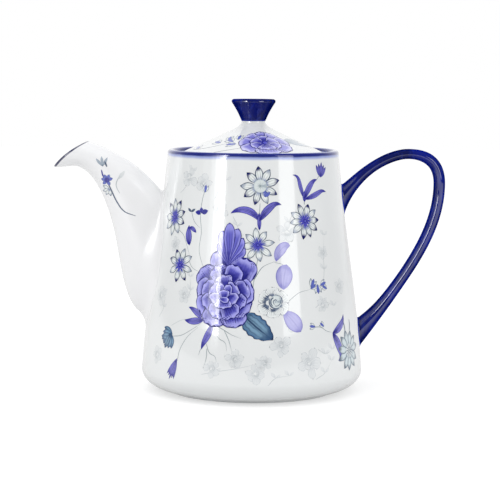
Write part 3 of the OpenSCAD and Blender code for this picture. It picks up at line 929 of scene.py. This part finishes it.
def onLid(a, b, lift):  # b is minus the distance from the lid's middle
    r = -b
    high = coneHeight(r) + lift * 1.1  # the cone leans, so the same gap is more when measured upward
    return Vector((r * math.sin(a), -r * math.cos(a), high))


def onSpoutSide(side):  # a and b are the place seen from the side: X and height
    def put(a, b, lift):
        target = Vector((a, b))

        def ahead(s):
            top, low = spoutSpan(s)
            along = (top - low).normalized()
            return (target - low).dot(Vector((along.y, -along.x)))
        s = findRoot(ahead, 0.02, 0.999)
        top, low = spoutSpan(s)
        half = (top - low) / 2
        share = (target - (top + low) / 2).dot(half.normalized()) / half.length
        share = clamp(share, -0.985, 0.985)  # off the spout's own ridges, where a side view is steepest
        angle = math.acos(share)
        here = spoutPoint(s, angle)
        turned, onward = spoutPoint(s, angle + nudge), spoutPoint(min(s + nudge, 1), angle)
        normal = (turned - here).cross(onward - here).normalized()
        if normal.y < 0:
            normal = -normal
        lifted = here + normal * lift
        return Vector((lifted.x, side * lifted.y, lifted.z))
    return put


def startPainting(put, stretch, seed, lift, turn=0.0):
    bm = bmesh.new()
    bm.loops.layers.uv.new("UVMap")
    return {"bm": bm, "tone": bm.verts.layers.float.new("tone"), "put": put, "stretch": stretch, "lift": lift,
            "random": random.Random(seed), "turn": turn}


def paintSkin(p, place, ink, tone, cells, level):  # place(u, v) gives the spot on the ware's own surface
    bm, lift = p["bm"], p["lift"] + level * paintSet["step"]
    made = bmesh.ops.create_grid(bm, x_segments=cells[0], y_segments=cells[1], size=0.5,
                                 calc_uvs=True)["verts"]
    spots = {}
    for vert in made:
        a, b = place(vert.co.x + 0.5, vert.co.y + 0.5)
        spots[vert] = (p["turn"] + a, b)
        vert.co = p["put"](p["turn"] + a, b, lift) * mm
        vert[p["tone"]] = tone
    faces = list({face for vert in made for face in vert.link_faces})
    for face in faces:
        face.material_index = inkNames.index(ink)
        face.normal_update()
    biggest = max(faces, key=lambda f: f.calc_area())
    a, b = spots[biggest.verts[0]]
    outward = p["put"](a, b, lift + 1) - p["put"](a, b, lift)
    if biggest.normal.dot(outward) < 0:
        bmesh.ops.reverse_faces(bm, faces=faces)
    bmesh.ops.remove_doubles(bm, verts=made, dist=paintSet["weld"] * mm)


def offset(p, centre, right, up):  # a place near a centre, moved by millimetres
    return centre[0] + math.degrees(right * p["stretch"](centre[1])), centre[1] + up


def polar(p, centre, radius, angle, squash=1.0):  # a place at a distance from a centre, in some direction
    return offset(p, centre, radius * squash * math.cos(angle), radius * math.sin(angle))


def squashed(angle, squash):  # a direction, in degrees, once the drawing is squeezed sideways
    return math.degrees(math.atan2(math.sin(angle), math.cos(angle) * squash))


def petal(p, base, angle, length, width, ink, curl=0.0, hook=0.0, full=0.6, peak=0.55, ruffle=0.0, teeth=17,
          tone=1.0, level=0, cells=None):
    # base is (degrees round, height); angle is the direction of growth in degrees, 90 is up; curl and hook
    # turn it on the way, full and peak shape the sides, ruffle and teeth wave them
    scale = p["stretch"](base[1])
    wave = p["random"].uniform(0, 6)
    if not cells:
        cellLength, cellWidth = paintSet["petalCell"]
        cells = (max(8, round(length / cellLength)), max(5, round(width / cellWidth)))
    steps = paintSet["spineSteps"]
    spine, at = [], Vector((0.0, 0.0))
    hookFrom = paintSet["hookFrom"]
    for i in range(steps + 1):
        hooked = hook * ease((i / steps - hookFrom) / (1 - hookFrom))
        turned = math.radians(angle - curl / 2 + curl * i / steps + hooked)
        way = Vector((math.cos(turned), math.sin(turned)))
        spine.append((at.copy(), way))
        at += way * (length / steps)

    def place(u, v):
        x = u * steps
        i = min(int(x), steps - 1)
        at, way = spine[i][0].lerp(spine[i + 1][0], x - i), spine[i][1].lerp(spine[i + 1][1], x - i)
        shape = math.sin(math.pi * u ** (math.log(0.5) / math.log(peak))) ** full if 0 < u < 1 else 0.0
        side = (v - 0.5) * width * shape
        side *= 1 + ruffle * math.sin(wave + u * teeth + (paintSet["edgeShift"] if v > 0.5 else 0))
        reach = 1 + ruffle * paintSet["endRuffle"] * math.sin(wave + v * paintSet["endTeeth"]) * u
        spot = at * reach + Vector((-way.y, way.x)) * side
        return math.radians(base[0]) + spot.x * scale, base[1] + spot.y
    paintSkin(p, place, ink, tone, cells, level)


def stroke(p, points, ink="stemInk", wide=paintSet["stemWidth"], end=0.3, level=0):
    # a smooth line through points given as (degrees, height); end is its last width as a share of wide
    spots = [Vector(q) for q in points]
    spots = [spots[0] * 2 - spots[1]] + spots + [spots[-1] * 2 - spots[-2]]
    count = len(points) - 1
    scale = p["stretch"](points[len(points) // 2][1])
    perDegree = math.radians(1) / scale

    def curve(t):
        k = min(int(t * count), count - 1)
        x = t * count - k
        a, b, c, d = spots[k:k + 4]
        square = b * 2 + (c - a) * x + (a * 2 - b * 5 + c * 4 - d) * x * x
        return (square + (b * 3 - a - c * 3 + d) * x ** 3) / 2

    def place(u, v):
        at = curve(u)
        step = curve(min(u + nudge, 1)) - curve(max(u - nudge, 0))
        way = Vector((step.x * perDegree, step.y)).normalized()
        half = (v - 0.5) * wide * mix(1, end, u) * math.sin(math.pi * clamp(u, 0.02, 0.98)) ** 0.3
        return math.radians(at.x) - way.y * half * scale, at.y + way.x * half
    length = sum(math.hypot((b[0] - a[0]) * perDegree, b[1] - a[1]) for a, b in zip(points, points[1:]))
    paintSkin(p, place, ink, 1.0, (max(6, round(length / paintSet["strokeCell"])), 2), level)


def spoke(p, centre, near, far, angle, ink, wide, end, squash=1.0, level=0):  # a short line out from a centre
    stroke(p, [polar(p, centre, radius, angle, squash) for radius in (near, far)], ink, wide, end, level)


def disc(p, centre, radius, ink, squash=1.0, level=0):
    scale = p["stretch"](centre[1])

    def place(u, v):
        r, turn = radius * u, fullTurn * v
        return math.radians(centre[0]) + r * squash * math.cos(turn) * scale, centre[1] + r * math.sin(turn)
    paintSkin(p, place, ink, 1.0, (5, 20), level)


def arcLine(p, centre, radius, fromAngle, toAngle, ink, wide, squash=1.0, grow=0.0, level=0):
    # a brush line along an arc; grow opens it into a spiral
    points = []
    for i in range(7):
        angle = math.radians(mix(fromAngle, toAngle, i / 6))
        points.append(polar(p, centre, radius * (1 + grow * i / 6), angle, squash))
    stroke(p, points, ink, wide, 0.6, level)


# everything in shares of the star's radius; the curl is in degrees
starSet = {"root": 0.2, "length": (0.76, 0.86), "width": (0.35, 0.42), "curl": (-16, 16),
           "tone": (0.97, 1.02), "hairs": 30, "hairFrom": 0.12, "hairTo": (0.32, 0.58), "paleHairs": 9,
           "paleHairTo": 0.16, "discs": (("heart", 0.21), ("blueInk", 0.12), ("violetInk", 0.05)),
           "paleDisc": 0.34}


def star(p, centre, radius, heart="blue", count=9, start=0.0, squash=1.0, tips=(), ink="starPetal",
         c=starSet):
    # pointed outlined petals round a small eye; tips names the petals with a dark end
    draw = p["random"].uniform
    for i in range(count):
        a = math.radians(start + 360 * i / count + draw(-4, 4))
        base = polar(p, centre, c["root"] * radius, a, squash)
        length = radius * draw(*c["length"]) * math.hypot(math.cos(a) * squash, math.sin(a))
        petal(p, base, squashed(a, squash), length, radius * draw(*c["width"]),
              "tippedPetal" if i in tips else ink, curl=draw(*c["curl"]), full=0.86, peak=0.5,
              tone=draw(*c["tone"]), level=i % 3, cells=(12, 7))
    if heart == "blue":
        for i in range(c["hairs"]):
            a = math.radians(360 * i / c["hairs"] + draw(-5, 5))
            spoke(p, centre, c["hairFrom"] * radius, radius * draw(*c["hairTo"]), a, "starInk", 0.66, 0.12,
                  squash, 3 + i % 2)
        for i, (discInk, share) in enumerate(c["discs"]):
            disc(p, centre, share * radius, discInk, squash, 6 + i)
        return
    disc(p, centre, c["paleDisc"] * radius, "paleHeart", squash, 4)
    for i in range(c["paleHairs"]):
        spoke(p, centre, 0, c["paleHairTo"] * radius, math.radians(40 * i), "stemInk", 0.3, 0.3, level=5)


# the petals of large blooms: right, up, direction, length, width, curl, tone; the last ones lie on top
peonyOuter = [(0, 3, 104, 17.5, 12, 14, 0.94), (-2, 0, 140, 15.5, 12.5, -12, 1.0),
              (3, 1, 60, 17.5, 14.5, 24, 0.98), (-2, -2, 176, 13.5, 13, 10, 0.94),
              (-2, -3, 214, 14.5, 12, -8, 1.04), (-1, -4, 252, 16, 12.5, 12, 0.93),
              (2, -4, 286, 16, 13, -12, 1.0), (3, -3, 322, 13, 12, 14, 0.95),
              (3, -1, 4, 12.5, 12.5, 16, 1.04)]
peonyMiddle = [(0, 1, 116, 12, 10.5, 20, 0.98), (2, 0, 66, 13, 10, -22, 1.04),
               (-2, -2, 158, 10.5, 9.5, -20, 1.0), (3, -2, 22, 10.5, 10, 20, 0.94),
               (-2, -4, 208, 10.5, 9, 18, 1.04), (2, -4, 334, 10, 9, -20, 1.0),
               (-1, -4, 248, 11.5, 9.5, -16, 0.95), (1, -4, 294, 11.5, 10, 20, 1.03)]
peonyInner = [(0, 0, 96, 7.5, 9, 16, 1.0), (-1, -2, 158, 7, 8.5, -14, 1.04), (1, -2, 34, 7, 8.5, 14, 0.98),
              (-1, -3, 222, 6.5, 8.5, 14, 1.02), (1, -3, 322, 6.5, 8.5, -14, 1.0),
              (0, -4, 270, 6, 9, 8, 1.05)]
peonyHeart = [(-2.2, -3, 80, 6.2, 4.6, -40, 1.0), (2.4, -3.4, 104, 6.0, 4.4, 44, 1.04),
              (0.2, -5.2, 92, 5.0, 5.6, 0, 1.06), (-2.6, -4.4, 352, 5.6, 3.0, 40, 1.08)]
openRose = [(0, 2, 96, 9.5, 10.5, 10, 1.02), (-2, 1, 142, 11, 9.5, -12, 0.98), (2, 1, 46, 11, 9.5, 12, 1.0),
            (-2, 0, 178, 12, 9, 10, 1.02), (2, 0, 4, 12, 9, -10, 0.97), (-2, -1, 216, 11, 9.5, 10, 1.0),
            (2, -1, 322, 11, 9.5, -12, 1.03), (0, -2, 268, 9.5, 11, 6, 1.0)]
openHeart = [(0, 1, 92, 6.4, 8, 8, 1.02), (-1, 0, 150, 7, 7.5, -14, 1.0), (1, 0, 32, 7, 7.5, 14, 1.04),
             (-1, -1, 208, 6.8, 7.5, 12, 0.98), (1, -1, 330, 6.8, 7.5, -12, 1.0),
             (0, -1, 270, 6, 8.5, 6, 1.05)]


def backedPetal(p, base, way, length, width, margin, ink, level, ruffle, tone=None, tones=None, **shape):
    # a petal on a slightly larger dark one; its tone is given, or drawn from the range of tones
    petal(p, base, way, length + margin[0], width + margin[1], "gapInk", level=level - 0.5, **shape)
    tone = p["random"].uniform(*tones) if tones else tone
    petal(p, base, way, length, width, ink, level=level, ruffle=ruffle, tone=tone, **shape)


def putPetals(p, centre, size, squash, petals, ink, level, full=0.42):
    for i, (right, up, way, length, width, curl, tone) in enumerate(petals):
        base = offset(p, centre, right * size * squash, up * size)
        backedPetal(p, base, squashed(math.radians(way), squash), length * size, width * size, (0.36, 0.8),
                    ink, level + i, curl=curl, full=full, peak=0.66, ruffle=0.06, tone=tone)
    return level + len(petals)


# the peony's rings from outside in: petals, ink, and right, up, radius and squash of the dark disc on each
peonyRings = ((peonyOuter, "violetPetal", (0.4, -1.6, 8.2, 0.96)),
              (peonyMiddle, "violetPetal", (0, -2.4, 5.2, 1.0)),
              (peonyInner, "scoopPetal", (0, -2.4, 3.4, 1.0)))


def peony(p, centre, size):
    level = 0
    for petals, ink, (right, up, radius, squash) in peonyRings:
        level = putPetals(p, centre, size, 1.0, petals, ink, level)
        disc(p, offset(p, centre, right * size, up * size), radius * size, "gapInk", squash, level)
        level += 1
    putPetals(p, centre, size, 1.0, peonyHeart, "scoopPetal", level)


def lidRose(p, centre, size, squash):  # a wide open rose
    level = putPetals(p, centre, size, squash, openRose, "lidPetal", 0, 0.5)
    disc(p, centre, 5.4 * size, "gapInk", squash, level=level)
    level = putPetals(p, centre, size, squash, openHeart, "lidPetal", level + 1, 0.5)
    disc(p, centre, 2.4 * size, "blueInk", squash, level=level)
    disc(p, centre, 1.1 * size, "violetInk", squash, level=level + 1)
    for radius, begin, finish in ((3.1, 20, 150), (3.6, 190, 330), (4.6, 60, 130), (4.4, 220, 290)):
        arcLine(p, centre, radius * size, begin, finish, "blueInk", 0.5, squash, level=level + 2)


# the fan's petals: direction, then length and width as shares of its height, and the curl
wingPetals = ((30, 0.42, 0.22, -14), (114, 0.6, 0.26, 12), (46, 0.58, 0.25, -14), (61, 0.74, 0.26, -12),
              (104, 0.84, 0.27, 8), (75, 0.9, 0.27, -8), (90, 1.0, 0.27, 4))


def wing(p, base, height):  # a tall half-open bud, its ribbed petals spread like a fan
    for i, (way, share, wide, curl) in enumerate(wingPetals):
        backedPetal(p, base, way, height * share, height * wide, (0.3, 0.6), "wingPetal", i, curl=curl,
                    full=0.6, peak=0.7, ruffle=0.03, tones=(0.96, 1.06))


# the rose in shares of its size: petals as direction, length and width; hatching as angle from and to, near
# and far; coiled lines as radius, angle from and to, growth and width
roseSet = {"root": 0.36, "petals": ((150, 0.66, 0.9), (96, 0.6, 0.86), (210, 0.7, 0.8), (268, 0.56, 0.86),
                                    (28, 0.62, 0.9), (330, 0.66, 0.84), (62, 0.42, 0.7), (300, 0.42, 0.66)),
           "hatching": ((112, 236, 0.5, 0.86), (236, 292, 0.4, 0.62), (40, 84, 0.44, 0.58)), "hatchStep": 5,
           "heart": (0.12, 0.06, 0.4),
           "coil": ((0.1, 40, 250, 0.9, 0.6), (0.26, 250, 400, 0.2, 0.5), (0.3, 120, 236, 0.1, 0.8),
                    (0.42, 150, 300, 0.0, 0.7), (0.4, -20, 60, 0.1, 0.5))}


def rose(p, centre, size, c=roseSet):  # a small white rose: shaded with fine hatching round a coiled heart
    draw = p["random"].uniform
    for i, (way, length, width) in enumerate(c["petals"]):
        base = polar(p, centre, c["root"] * size, math.radians(way))
        petal(p, base, way, length * size, width * size, "whitePetal", curl=draw(-16, 16), full=0.45,
              peak=0.62, ruffle=0.07, tone=draw(0.97, 1.02), level=i)
    step = c["hatchStep"]
    for begin, finish, near, far in c["hatching"]:
        for i in range(int((finish - begin) / step)):
            a = math.radians(begin + step * i + draw(-2, 2))
            fade = math.sin(math.pi * clamp(i * step / (finish - begin), 0.08, 0.92))
            reach = near + (far - near) * fade * draw(0.6, 1.1)
            spoke(p, centre, near * size, reach * size, a, "slateInk", 0.7, 0.2, level=9 + i % 2)
    right, up, radius = c["heart"]
    heart = offset(p, centre, right * size, up * size)
    disc(p, heart, radius * size, "paleHeart", 0.92, 11)
    for radius, begin, finish, grow, wide in c["coil"]:
        arcLine(p, heart, radius * size, begin, finish, "slateInk", wide, grow=grow, level=12)


def leaves(p, root, blades, ink="violetLeaf"):  # blades: (direction, length, width, curl, hook)
    for i, (direction, length, width, curl, hook) in enumerate(blades):
        petal(p, root, direction, length, width, ink, curl=curl, hook=hook, full=0.8, peak=0.45,
              tone=p["random"].uniform(0.96, 1.06), level=i)


def buds(p, places):  # small pale buds: (degrees, height, size, direction)
    for degrees, height, size, way in places:
        for i, lean in enumerate((-24, 24, 0)):
            petal(p, (degrees, height), way + lean, size, size * 0.4, "blueBud" if lean == 0 else "starPetal",
                  full=0.9, level=i, cells=(7, 4))


def cupFlower(p, base, way, size, ink, spread=34, wide=0.42, curl=-0.9):
    for i, share in enumerate((1, -1, 0.5, -0.5, 0)):
        petal(p, base, way + share * spread, size * (0.9 if share else 1.0), size * wide, ink,
              curl=share * spread * curl, full=0.8, peak=0.5, tone=p["random"].uniform(0.9, 1.1), level=i,
              cells=(10, 6))


def paintBlooms(p):
    wing(p, (-13.8, 75.0), 22.5)
    peony(p, (-15.4, 62.6), 1.03)
    p["lift"] = paintSet["roseLift"]
    rose(p, (11.6, 55.8), 8.6)


def paintStars(p):
    star(p, (4.4, 117.2), 10.6, "pale", 9, 16, tips=(0, 2, 3, 5, 6, 8))
    leaves(p, (7.2, 111.4), [(128, 4.6, 2.4, 20, 0), (84, 4.8, 2.6, 0, 0), (40, 4.2, 2.2, -20, 0)], "blueBud")
    star(p, (2.9, 86.1), 9.0, count=8, start=8)
    star(p, (32.9, 98.3), 9.6, count=10, start=4, tips=(0, 2, 3, 7, 8, 9))
    star(p, (-55.5, 98.7), 10.4, count=9, start=20, tips=(0, 1, 3, 8), squash=0.9)
    star(p, (-45.5, 73.6), 9.6, count=8, start=30, tips=(2, 3, 5, 6))
    tealCentre = (61.5, 26.5)
    star(p, tealCentre, 11.5, "pale", 11, 5, ink="tealStarPetal")
    for i in range(12):
        spoke(p, tealCentre, 1, 5, math.radians(30 * i), "slateInk", 0.6, 0.3, level=7)


def paintLeaves(p):
    leaves(p, (3.9, 98.6), [(168, 18.5, 3.9, 105, 0), (42, 16.5, 4.0, -40, -50)])
    leaves(p, (3.9, 93.8), [(91, 9.5, 2.2, 0, 0)])
    leaves(p, (33.4, 109.8), [(104, 16, 2.4, -10, 80), (50, 15.0, 3.5, -34, -30), (20, 17.5, 3.0, 16, -50)])
    leaves(p, (33.4, 108.4), [(86, 6.0, 2.6, 0, 0)])
    leaves(p, (-39.6, 84.5), [(98, 11.0, 4.4, -20, 0)])
    leaves(p, (-40.6, 94.4), [(-32, 5.6, 2.4, -30, 0)])
    leaves(p, (-26.0, 46.0), [(148, 12.0, 3.4, 18, 10), (186, 12.5, 3.8, -18, -10)])
    petal(p, (-19.0, 46.5), 176, 9.5, 7.0, "paleLeaf", curl=20, full=0.6)
    leaves(p, (-21.0, 44.5), [(244, 15.5, 3.6, -18, 20)])
    petal(p, (-5.2, 50.0), -40, 21.0, 11.5, "tealLeaf", curl=10, full=0.62, peak=0.45, ruffle=0.07, teeth=34)
    petal(p, (17.2, 62.5), 80, 13.5, 9.6, "softLeaf", curl=-20, full=0.55)
    petal(p, (13.4, 77.4), 48, 13.0, 5.6, "softLeaf", curl=-70, hook=-30, full=0.6)
    petal(p, (16.8, 51.0), -50, 14.5, 8.6, "softLeaf", curl=-16, full=0.55)
    leaves(p, (47.0, 37.6), [(36, 15.5, 4.2, 52, 20), (-66, 18.5, 5.0, -30, -80)])


def paintSprigs(p):
    stroke(p, [(4.3, 108.0), (4.1, 104), (3.9, 99.6)])
    stroke(p, [(3.0, 79.2), (1.6, 72), (0.4, 64), (0.2, 58)], wide=0.5)
    stroke(p, [(1.0, 68), (5.6, 74.5), (13.0, 77.6)], wide=0.5)
    stroke(p, [(12.4, 77.0), (17.4, 75.5), (19.0, 71)], wide=0.3)
    stroke(p, [(33.2, 107), (33.4, 110.4)], wide=0.6)
    stroke(p, [(44.6, 120.2), (46.6, 121.6), (48.6, 122.8)])
    cupFlower(p, (48.2, 121.0), 80, 8.4, "violetLeaf", 34, 0.26, -0.2)
    stroke(p, [(-30.9, 116), (-32.8, 109), (-33.4, 101), (-31.8, 92), (-32.2, 82), (-27.5, 72), (-21, 66)],
           wide=0.42)
    buds(p, [(-31.2, 113.0, 4.4, 84)])
    leaves(p, (-32.6, 102.2), [(176, 4.2, 2.6, 0, 0), (20, 4.2, 2.8, 0, 0), (100, 3.0, 2.4, 0, 0)], "blueInk")
    stroke(p, [(-40.8, 103.4), (-38.0, 98), (-35.0, 95.5), (-32.4, 94)], wide=0.36)
    leaves(p, (-40.8, 102.4), [(140, 3.0, 1.4, 0, 0), (30, 3.4, 1.4, 0, 0)], "slateInk")
    stroke(p, [(-49.5, 92.0), (-45.5, 90), (-42.5, 86), (-38.2, 78)], wide=0.42)
    stroke(p, [(-40.0, 78.5), (-36.0, 73), (-29.5, 70.5)], wide=0.36)
    cupFlower(p, (-46.0, 35.4), 186, 9.6, "tealLeaf")
    cupFlower(p, (-47.5, 36.8), 244, 9.4, "tealLeaf")
    stroke(p, [(-46.0, 35.4), (-39.5, 36.6), (-32.5, 40.6), (-27.5, 44)], wide=0.42)
    stroke(p, [(-47.5, 41.0), (-40.5, 44.5), (-33.5, 46.0)], "paleInk", 0.36)
    cupFlower(p, (-41.4, 24.0), 246, 13.0, "violetLeaf", 15, 0.16, 0.5)
    stroke(p, [(-41.2, 22.5), (-39.8, 29), (-35.6, 36), (-29.0, 42)], wide=0.42)
    for twig in ([(-20, 44), (-13.5, 40.5), (-10.5, 38.8), (-5.6, 37.0)],
                 [(-14.5, 41.0), (-12.0, 36), (-10.2, 30.0)],
                 [(-20.5, 43), (-17.5, 37.0), (-13.8, 34.5), (-12.8, 30)],
                 [(-24.2, 33.8), (-26.8, 30.5), (-28.2, 27)],
                 [(-24.0, 33.6), (-22.0, 28.8), (-19.0, 27.0), (-18.0, 24)],
                 [(-23.5, 31), (-23.6, 26), (-24.5, 22)]):
        stroke(p, twig, wide=0.46)
    stroke(p, [(20, 56.5), (26, 60.5), (33.5, 62)], wide=0.36)
    buds(p, [(33.5, 62.2, 4.6, 30), (38.4, 64.5, 5.4, -84), (40.4, 63.6, 4.8, 18), (45.5, 61.4, 4.0, 150),
             (34.0, 62.6, 5.4, 64)])
    stroke(p, [(33.5, 41.8), (38.5, 41.6), (42.5, 39.2), (46.8, 38)], wide=0.5)
    buds(p, [(35.2, 42.0, 4.0, 170), (41.0, 41.6, 3.6, 140)])
    stroke(p, [(58.6, 36), (58.2, 40), (57.0, 44)], "slateInk", 0.9, 1.0)
    stroke(p, [(63.5, 37), (64.5, 40), (64.4, 43)], "slateInk", 0.9, 1.0)


def ghostBloom(p, centre, size, count=5):  # a pale grey flower, hardly darker than the glaze
    draw = p["random"].uniform
    start = draw(0, 70)
    for i in range(count):
        way = start + (360 * i + draw(-40, 40)) / count
        petal(p, polar(p, centre, 0.12 * size, math.radians(way)), way, size * draw(0.72, 1.08),
              size * draw(0.56, 0.9), "ghostPetal", curl=draw(-30, 30), full=0.5, peak=0.6, ruffle=0.08,
              level=i % 3)
    for i in range(3):
        begin = draw(0, 300)
        arcLine(p, centre, (0.14 + 0.1 * i) * size, begin, begin + draw(80, 160), "ghostInk", 0.4, grow=0.3,
                level=4)


def ghostTwig(p, points, size):
    stroke(p, points, "ghostInk", 0.4)
    for spot in points[1:]:
        for way, share in ((130, 1.0), (35, 0.8)):
            petal(p, spot, way, size * share, size * 0.4 * share, "ghostPetal", full=0.8)


# pale grey flowers behind the coloured ones: centre, size, number of petals; then double ones; then twigs
ghostSet = {
    "single": (((-44.6, 120.5), 5.5, 4), ((1.7, 18.4), 5.0, 6), ((-20.5, 20.5), 4.5, 5), ((44.6, 81), 3.6, 5),
               ((57, 62), 4.5, 5), ((-60, 56), 5.5, 6), ((-20, 105), 4.6, 5), ((20.6, 93), 5.6, 5),
               ((-58, 24), 5.0, 5), ((41.5, 53), 4.0, 5)),
    "double": (((30.2, 23.0), 7.6), ((15.0, 33.0), 5.8), ((6.5, 24.0), 4.6), ((-33, 118), 5.0),
               ((-8.5, 26), 5.2), ((-40, 58), 4.6), ((-52, 84), 4.2), ((22, 44), 5.0)),
    "twigs": (([(-52, 112), (-47, 116), (-42, 124)], 4.6), ([(-26, 17), (-18, 19), (-8, 21), (4, 24)], 4.0),
              ([(36, 30), (41, 27), (46, 29)], 4.4), ([(34, 14), (40, 17), (45, 23)], 4.4),
              ([(43.4, 66), (44.6, 72), (45.2, 80), (47.2, 90)], 4.4),
              ([(-24, 110), (-21, 116), (-17, 120)], 4.2), ([(-38, 56), (-36, 61), (-37, 68)], 4),
              ([(25, 103), (22, 98), (18, 91)], 4), ([(36, 52), (42, 55), (50, 52)], 4.2),
              ([(-12, 101), (-9, 96), (-8, 90)], 4.0), ([(-60, 44), (-56, 50), (-57, 58)], 4.2),
              ([(8, 12), (12, 16), (19, 17)], 4.0)),
}


def paintGhosts(p):
    for centre, size, count in ghostSet["single"]:
        ghostBloom(p, centre, size, count)
    for centre, size in ghostSet["double"]:
        ghostBloom(p, centre, size)
        ghostBloom(p, centre, size * 0.55, 4)
    for points, size in ghostSet["twigs"]:
        ghostTwig(p, points, size)


potLayers = (("ghosts", paintGhosts), ("sprigs", paintSprigs), ("leaves", paintLeaves), ("stars", paintStars),
             ("blooms", paintBlooms))
for sideName, turn in (("front", 0.0), ("back", math.pi)):
    for number, (layerName, paint) in enumerate(potLayers):
        painter = startPainting(onPot, lambda b: 1 / wallRadius(b), 11 * number + round(turn),
                                paintSet["lifts"][layerName], turn)
        paint(painter)
        addPiece(f"paint_{layerName}_{sideName}", painter["bm"], "pot", inks)
    print("painted", sideName)


def paintLidSide(p):
    for points in ([(-63, -35), (-48, -31.5), (-30, -26)], [(-42, -39), (-25, -34), (-6, -30)],
                   [(80, -33), (66, -28), (50, -24)]):
        stroke(p, points, "slateInk", 0.55)
    buds(p, [(-42.4, -26.4, 6.0, 170), (-34, -23.6, 5.4, 120), (-26.0, -25.0, 6.4, 150),
             (-61.8, -34.0, 6.0, 160), (-22, -22.5, 5.4, 96), (-20, -27.0, 6.0, 190)])
    leaves(p, (44, -24), [(-6, 14, 4.8, -24, 0), (-26, 17, 5.0, -10, 0)], "greyLeaf")
    p["lift"] += paintSet["lidRoseLift"]
    lidRose(p, (14.5, -25.6), 1.06, 0.92)


for sideName, turn in (("front", 0.0), ("back", math.pi)):
    painter = startPainting(onLid, lambda b: 1 / max(-b, 4), 5 + round(turn), paintSet["lidLift"], turn)
    paintLidSide(painter)
    addPiece(f"paint_lid_{sideName}", painter["bm"], "lid", inks)


def spoutSpot(x, z):  # a place in the side's own plane, written as the painter's degrees and height
    return math.degrees(x), z


def spoutLine(p, points, ink, wide, end):
    stroke(p, [spoutSpot(x, z) for x, z in points], ink, wide, end)


def paintSpoutSide(p):
    spoutLine(p, ((-80.6, 116.5), (-78.6, 112.5), (-75.2, 105.5), (-71.0, 100.2), (-64.6, 97.8)), "slateInk",
              0.95, 0.6)
    spoutLine(p, ((-73.5, 110), (-75.5, 114.5), (-74.0, 118.8), (-71.0, 121.4)), "ghostInk", 0.6, 0.8)
    spoutLine(p, ((-83.6, 122.8), (-82.8, 119.5), (-81.0, 117.5)), "blueInk", 0.9, 0.9)
    for way in (62, 96, 130):
        petal(p, spoutSpot(-83.0, 124.6), way, 5.6, 1.5, "greyLeaf", full=0.9)
    spoutLine(p, ((-81.8, 127.4), (-80.6, 124.4)), "slateInk", 1.0, 0.8)
    for i, way in enumerate((18, 66, 118, 170, 226, 300)):
        petal(p, spoutSpot(-80.6, 117.2), way, 3.4, 2.0, "blueBud", full=0.8, level=i)
    disc(p, spoutSpot(-80.6, 117.2), 1.5, "blueInk", level=7)
    for i, way in enumerate((200, 238, 156, 280)):
        petal(p, spoutSpot(-79.2, 112.4), way, 4.2, 1.9, "starPetal", full=0.8, level=i)
    petal(p, spoutSpot(-74.6, 117.5), 52, 6.0, 2.0, "ghostPetal", full=0.8)


for sideName, side in (("near", -1), ("far", 1)):
    painter = startPainting(onSpoutSide(side), lambda b: 1.0, 3, paintSet["spoutLift"])
    paintSpoutSide(painter)
    addPiece(f"paint_spout_{sideName}", painter["bm"], "pot", inks)
print("painting done")


# floor
# glow is what the camera sees, and keeps the sheet white up to its edge; light is what falls on the ware
floorSet = {"size": 6.0, "color": (0.56, 0.56, 0.56, 1), "roughness": 0.9, "glow": 0.5, "light": 0.2}


def makeFloor(c):
    bm = bmesh.new()
    bmesh.ops.create_grid(bm, x_segments=1, y_segments=1, size=c["size"] / 2)
    material = bpy.data.materials.new("paleFloor")
    material.use_nodes = True
    seen = addNode(material.node_tree, "LightPath").outputs["Is Camera Ray"]
    shown = timesPlus(seen, c["glow"] - c["light"], c["light"])
    wireAll(material.node_tree.nodes["Principled BSDF"], {
        "Base Color": c["color"], "Roughness": c["roughness"], "Specular IOR Level": 0.0,
        "Emission Color": (1, 1, 1, 1), "Emission Strength": shown})
    addObject("floor", bm, [material])


makeFloor(floorSet)
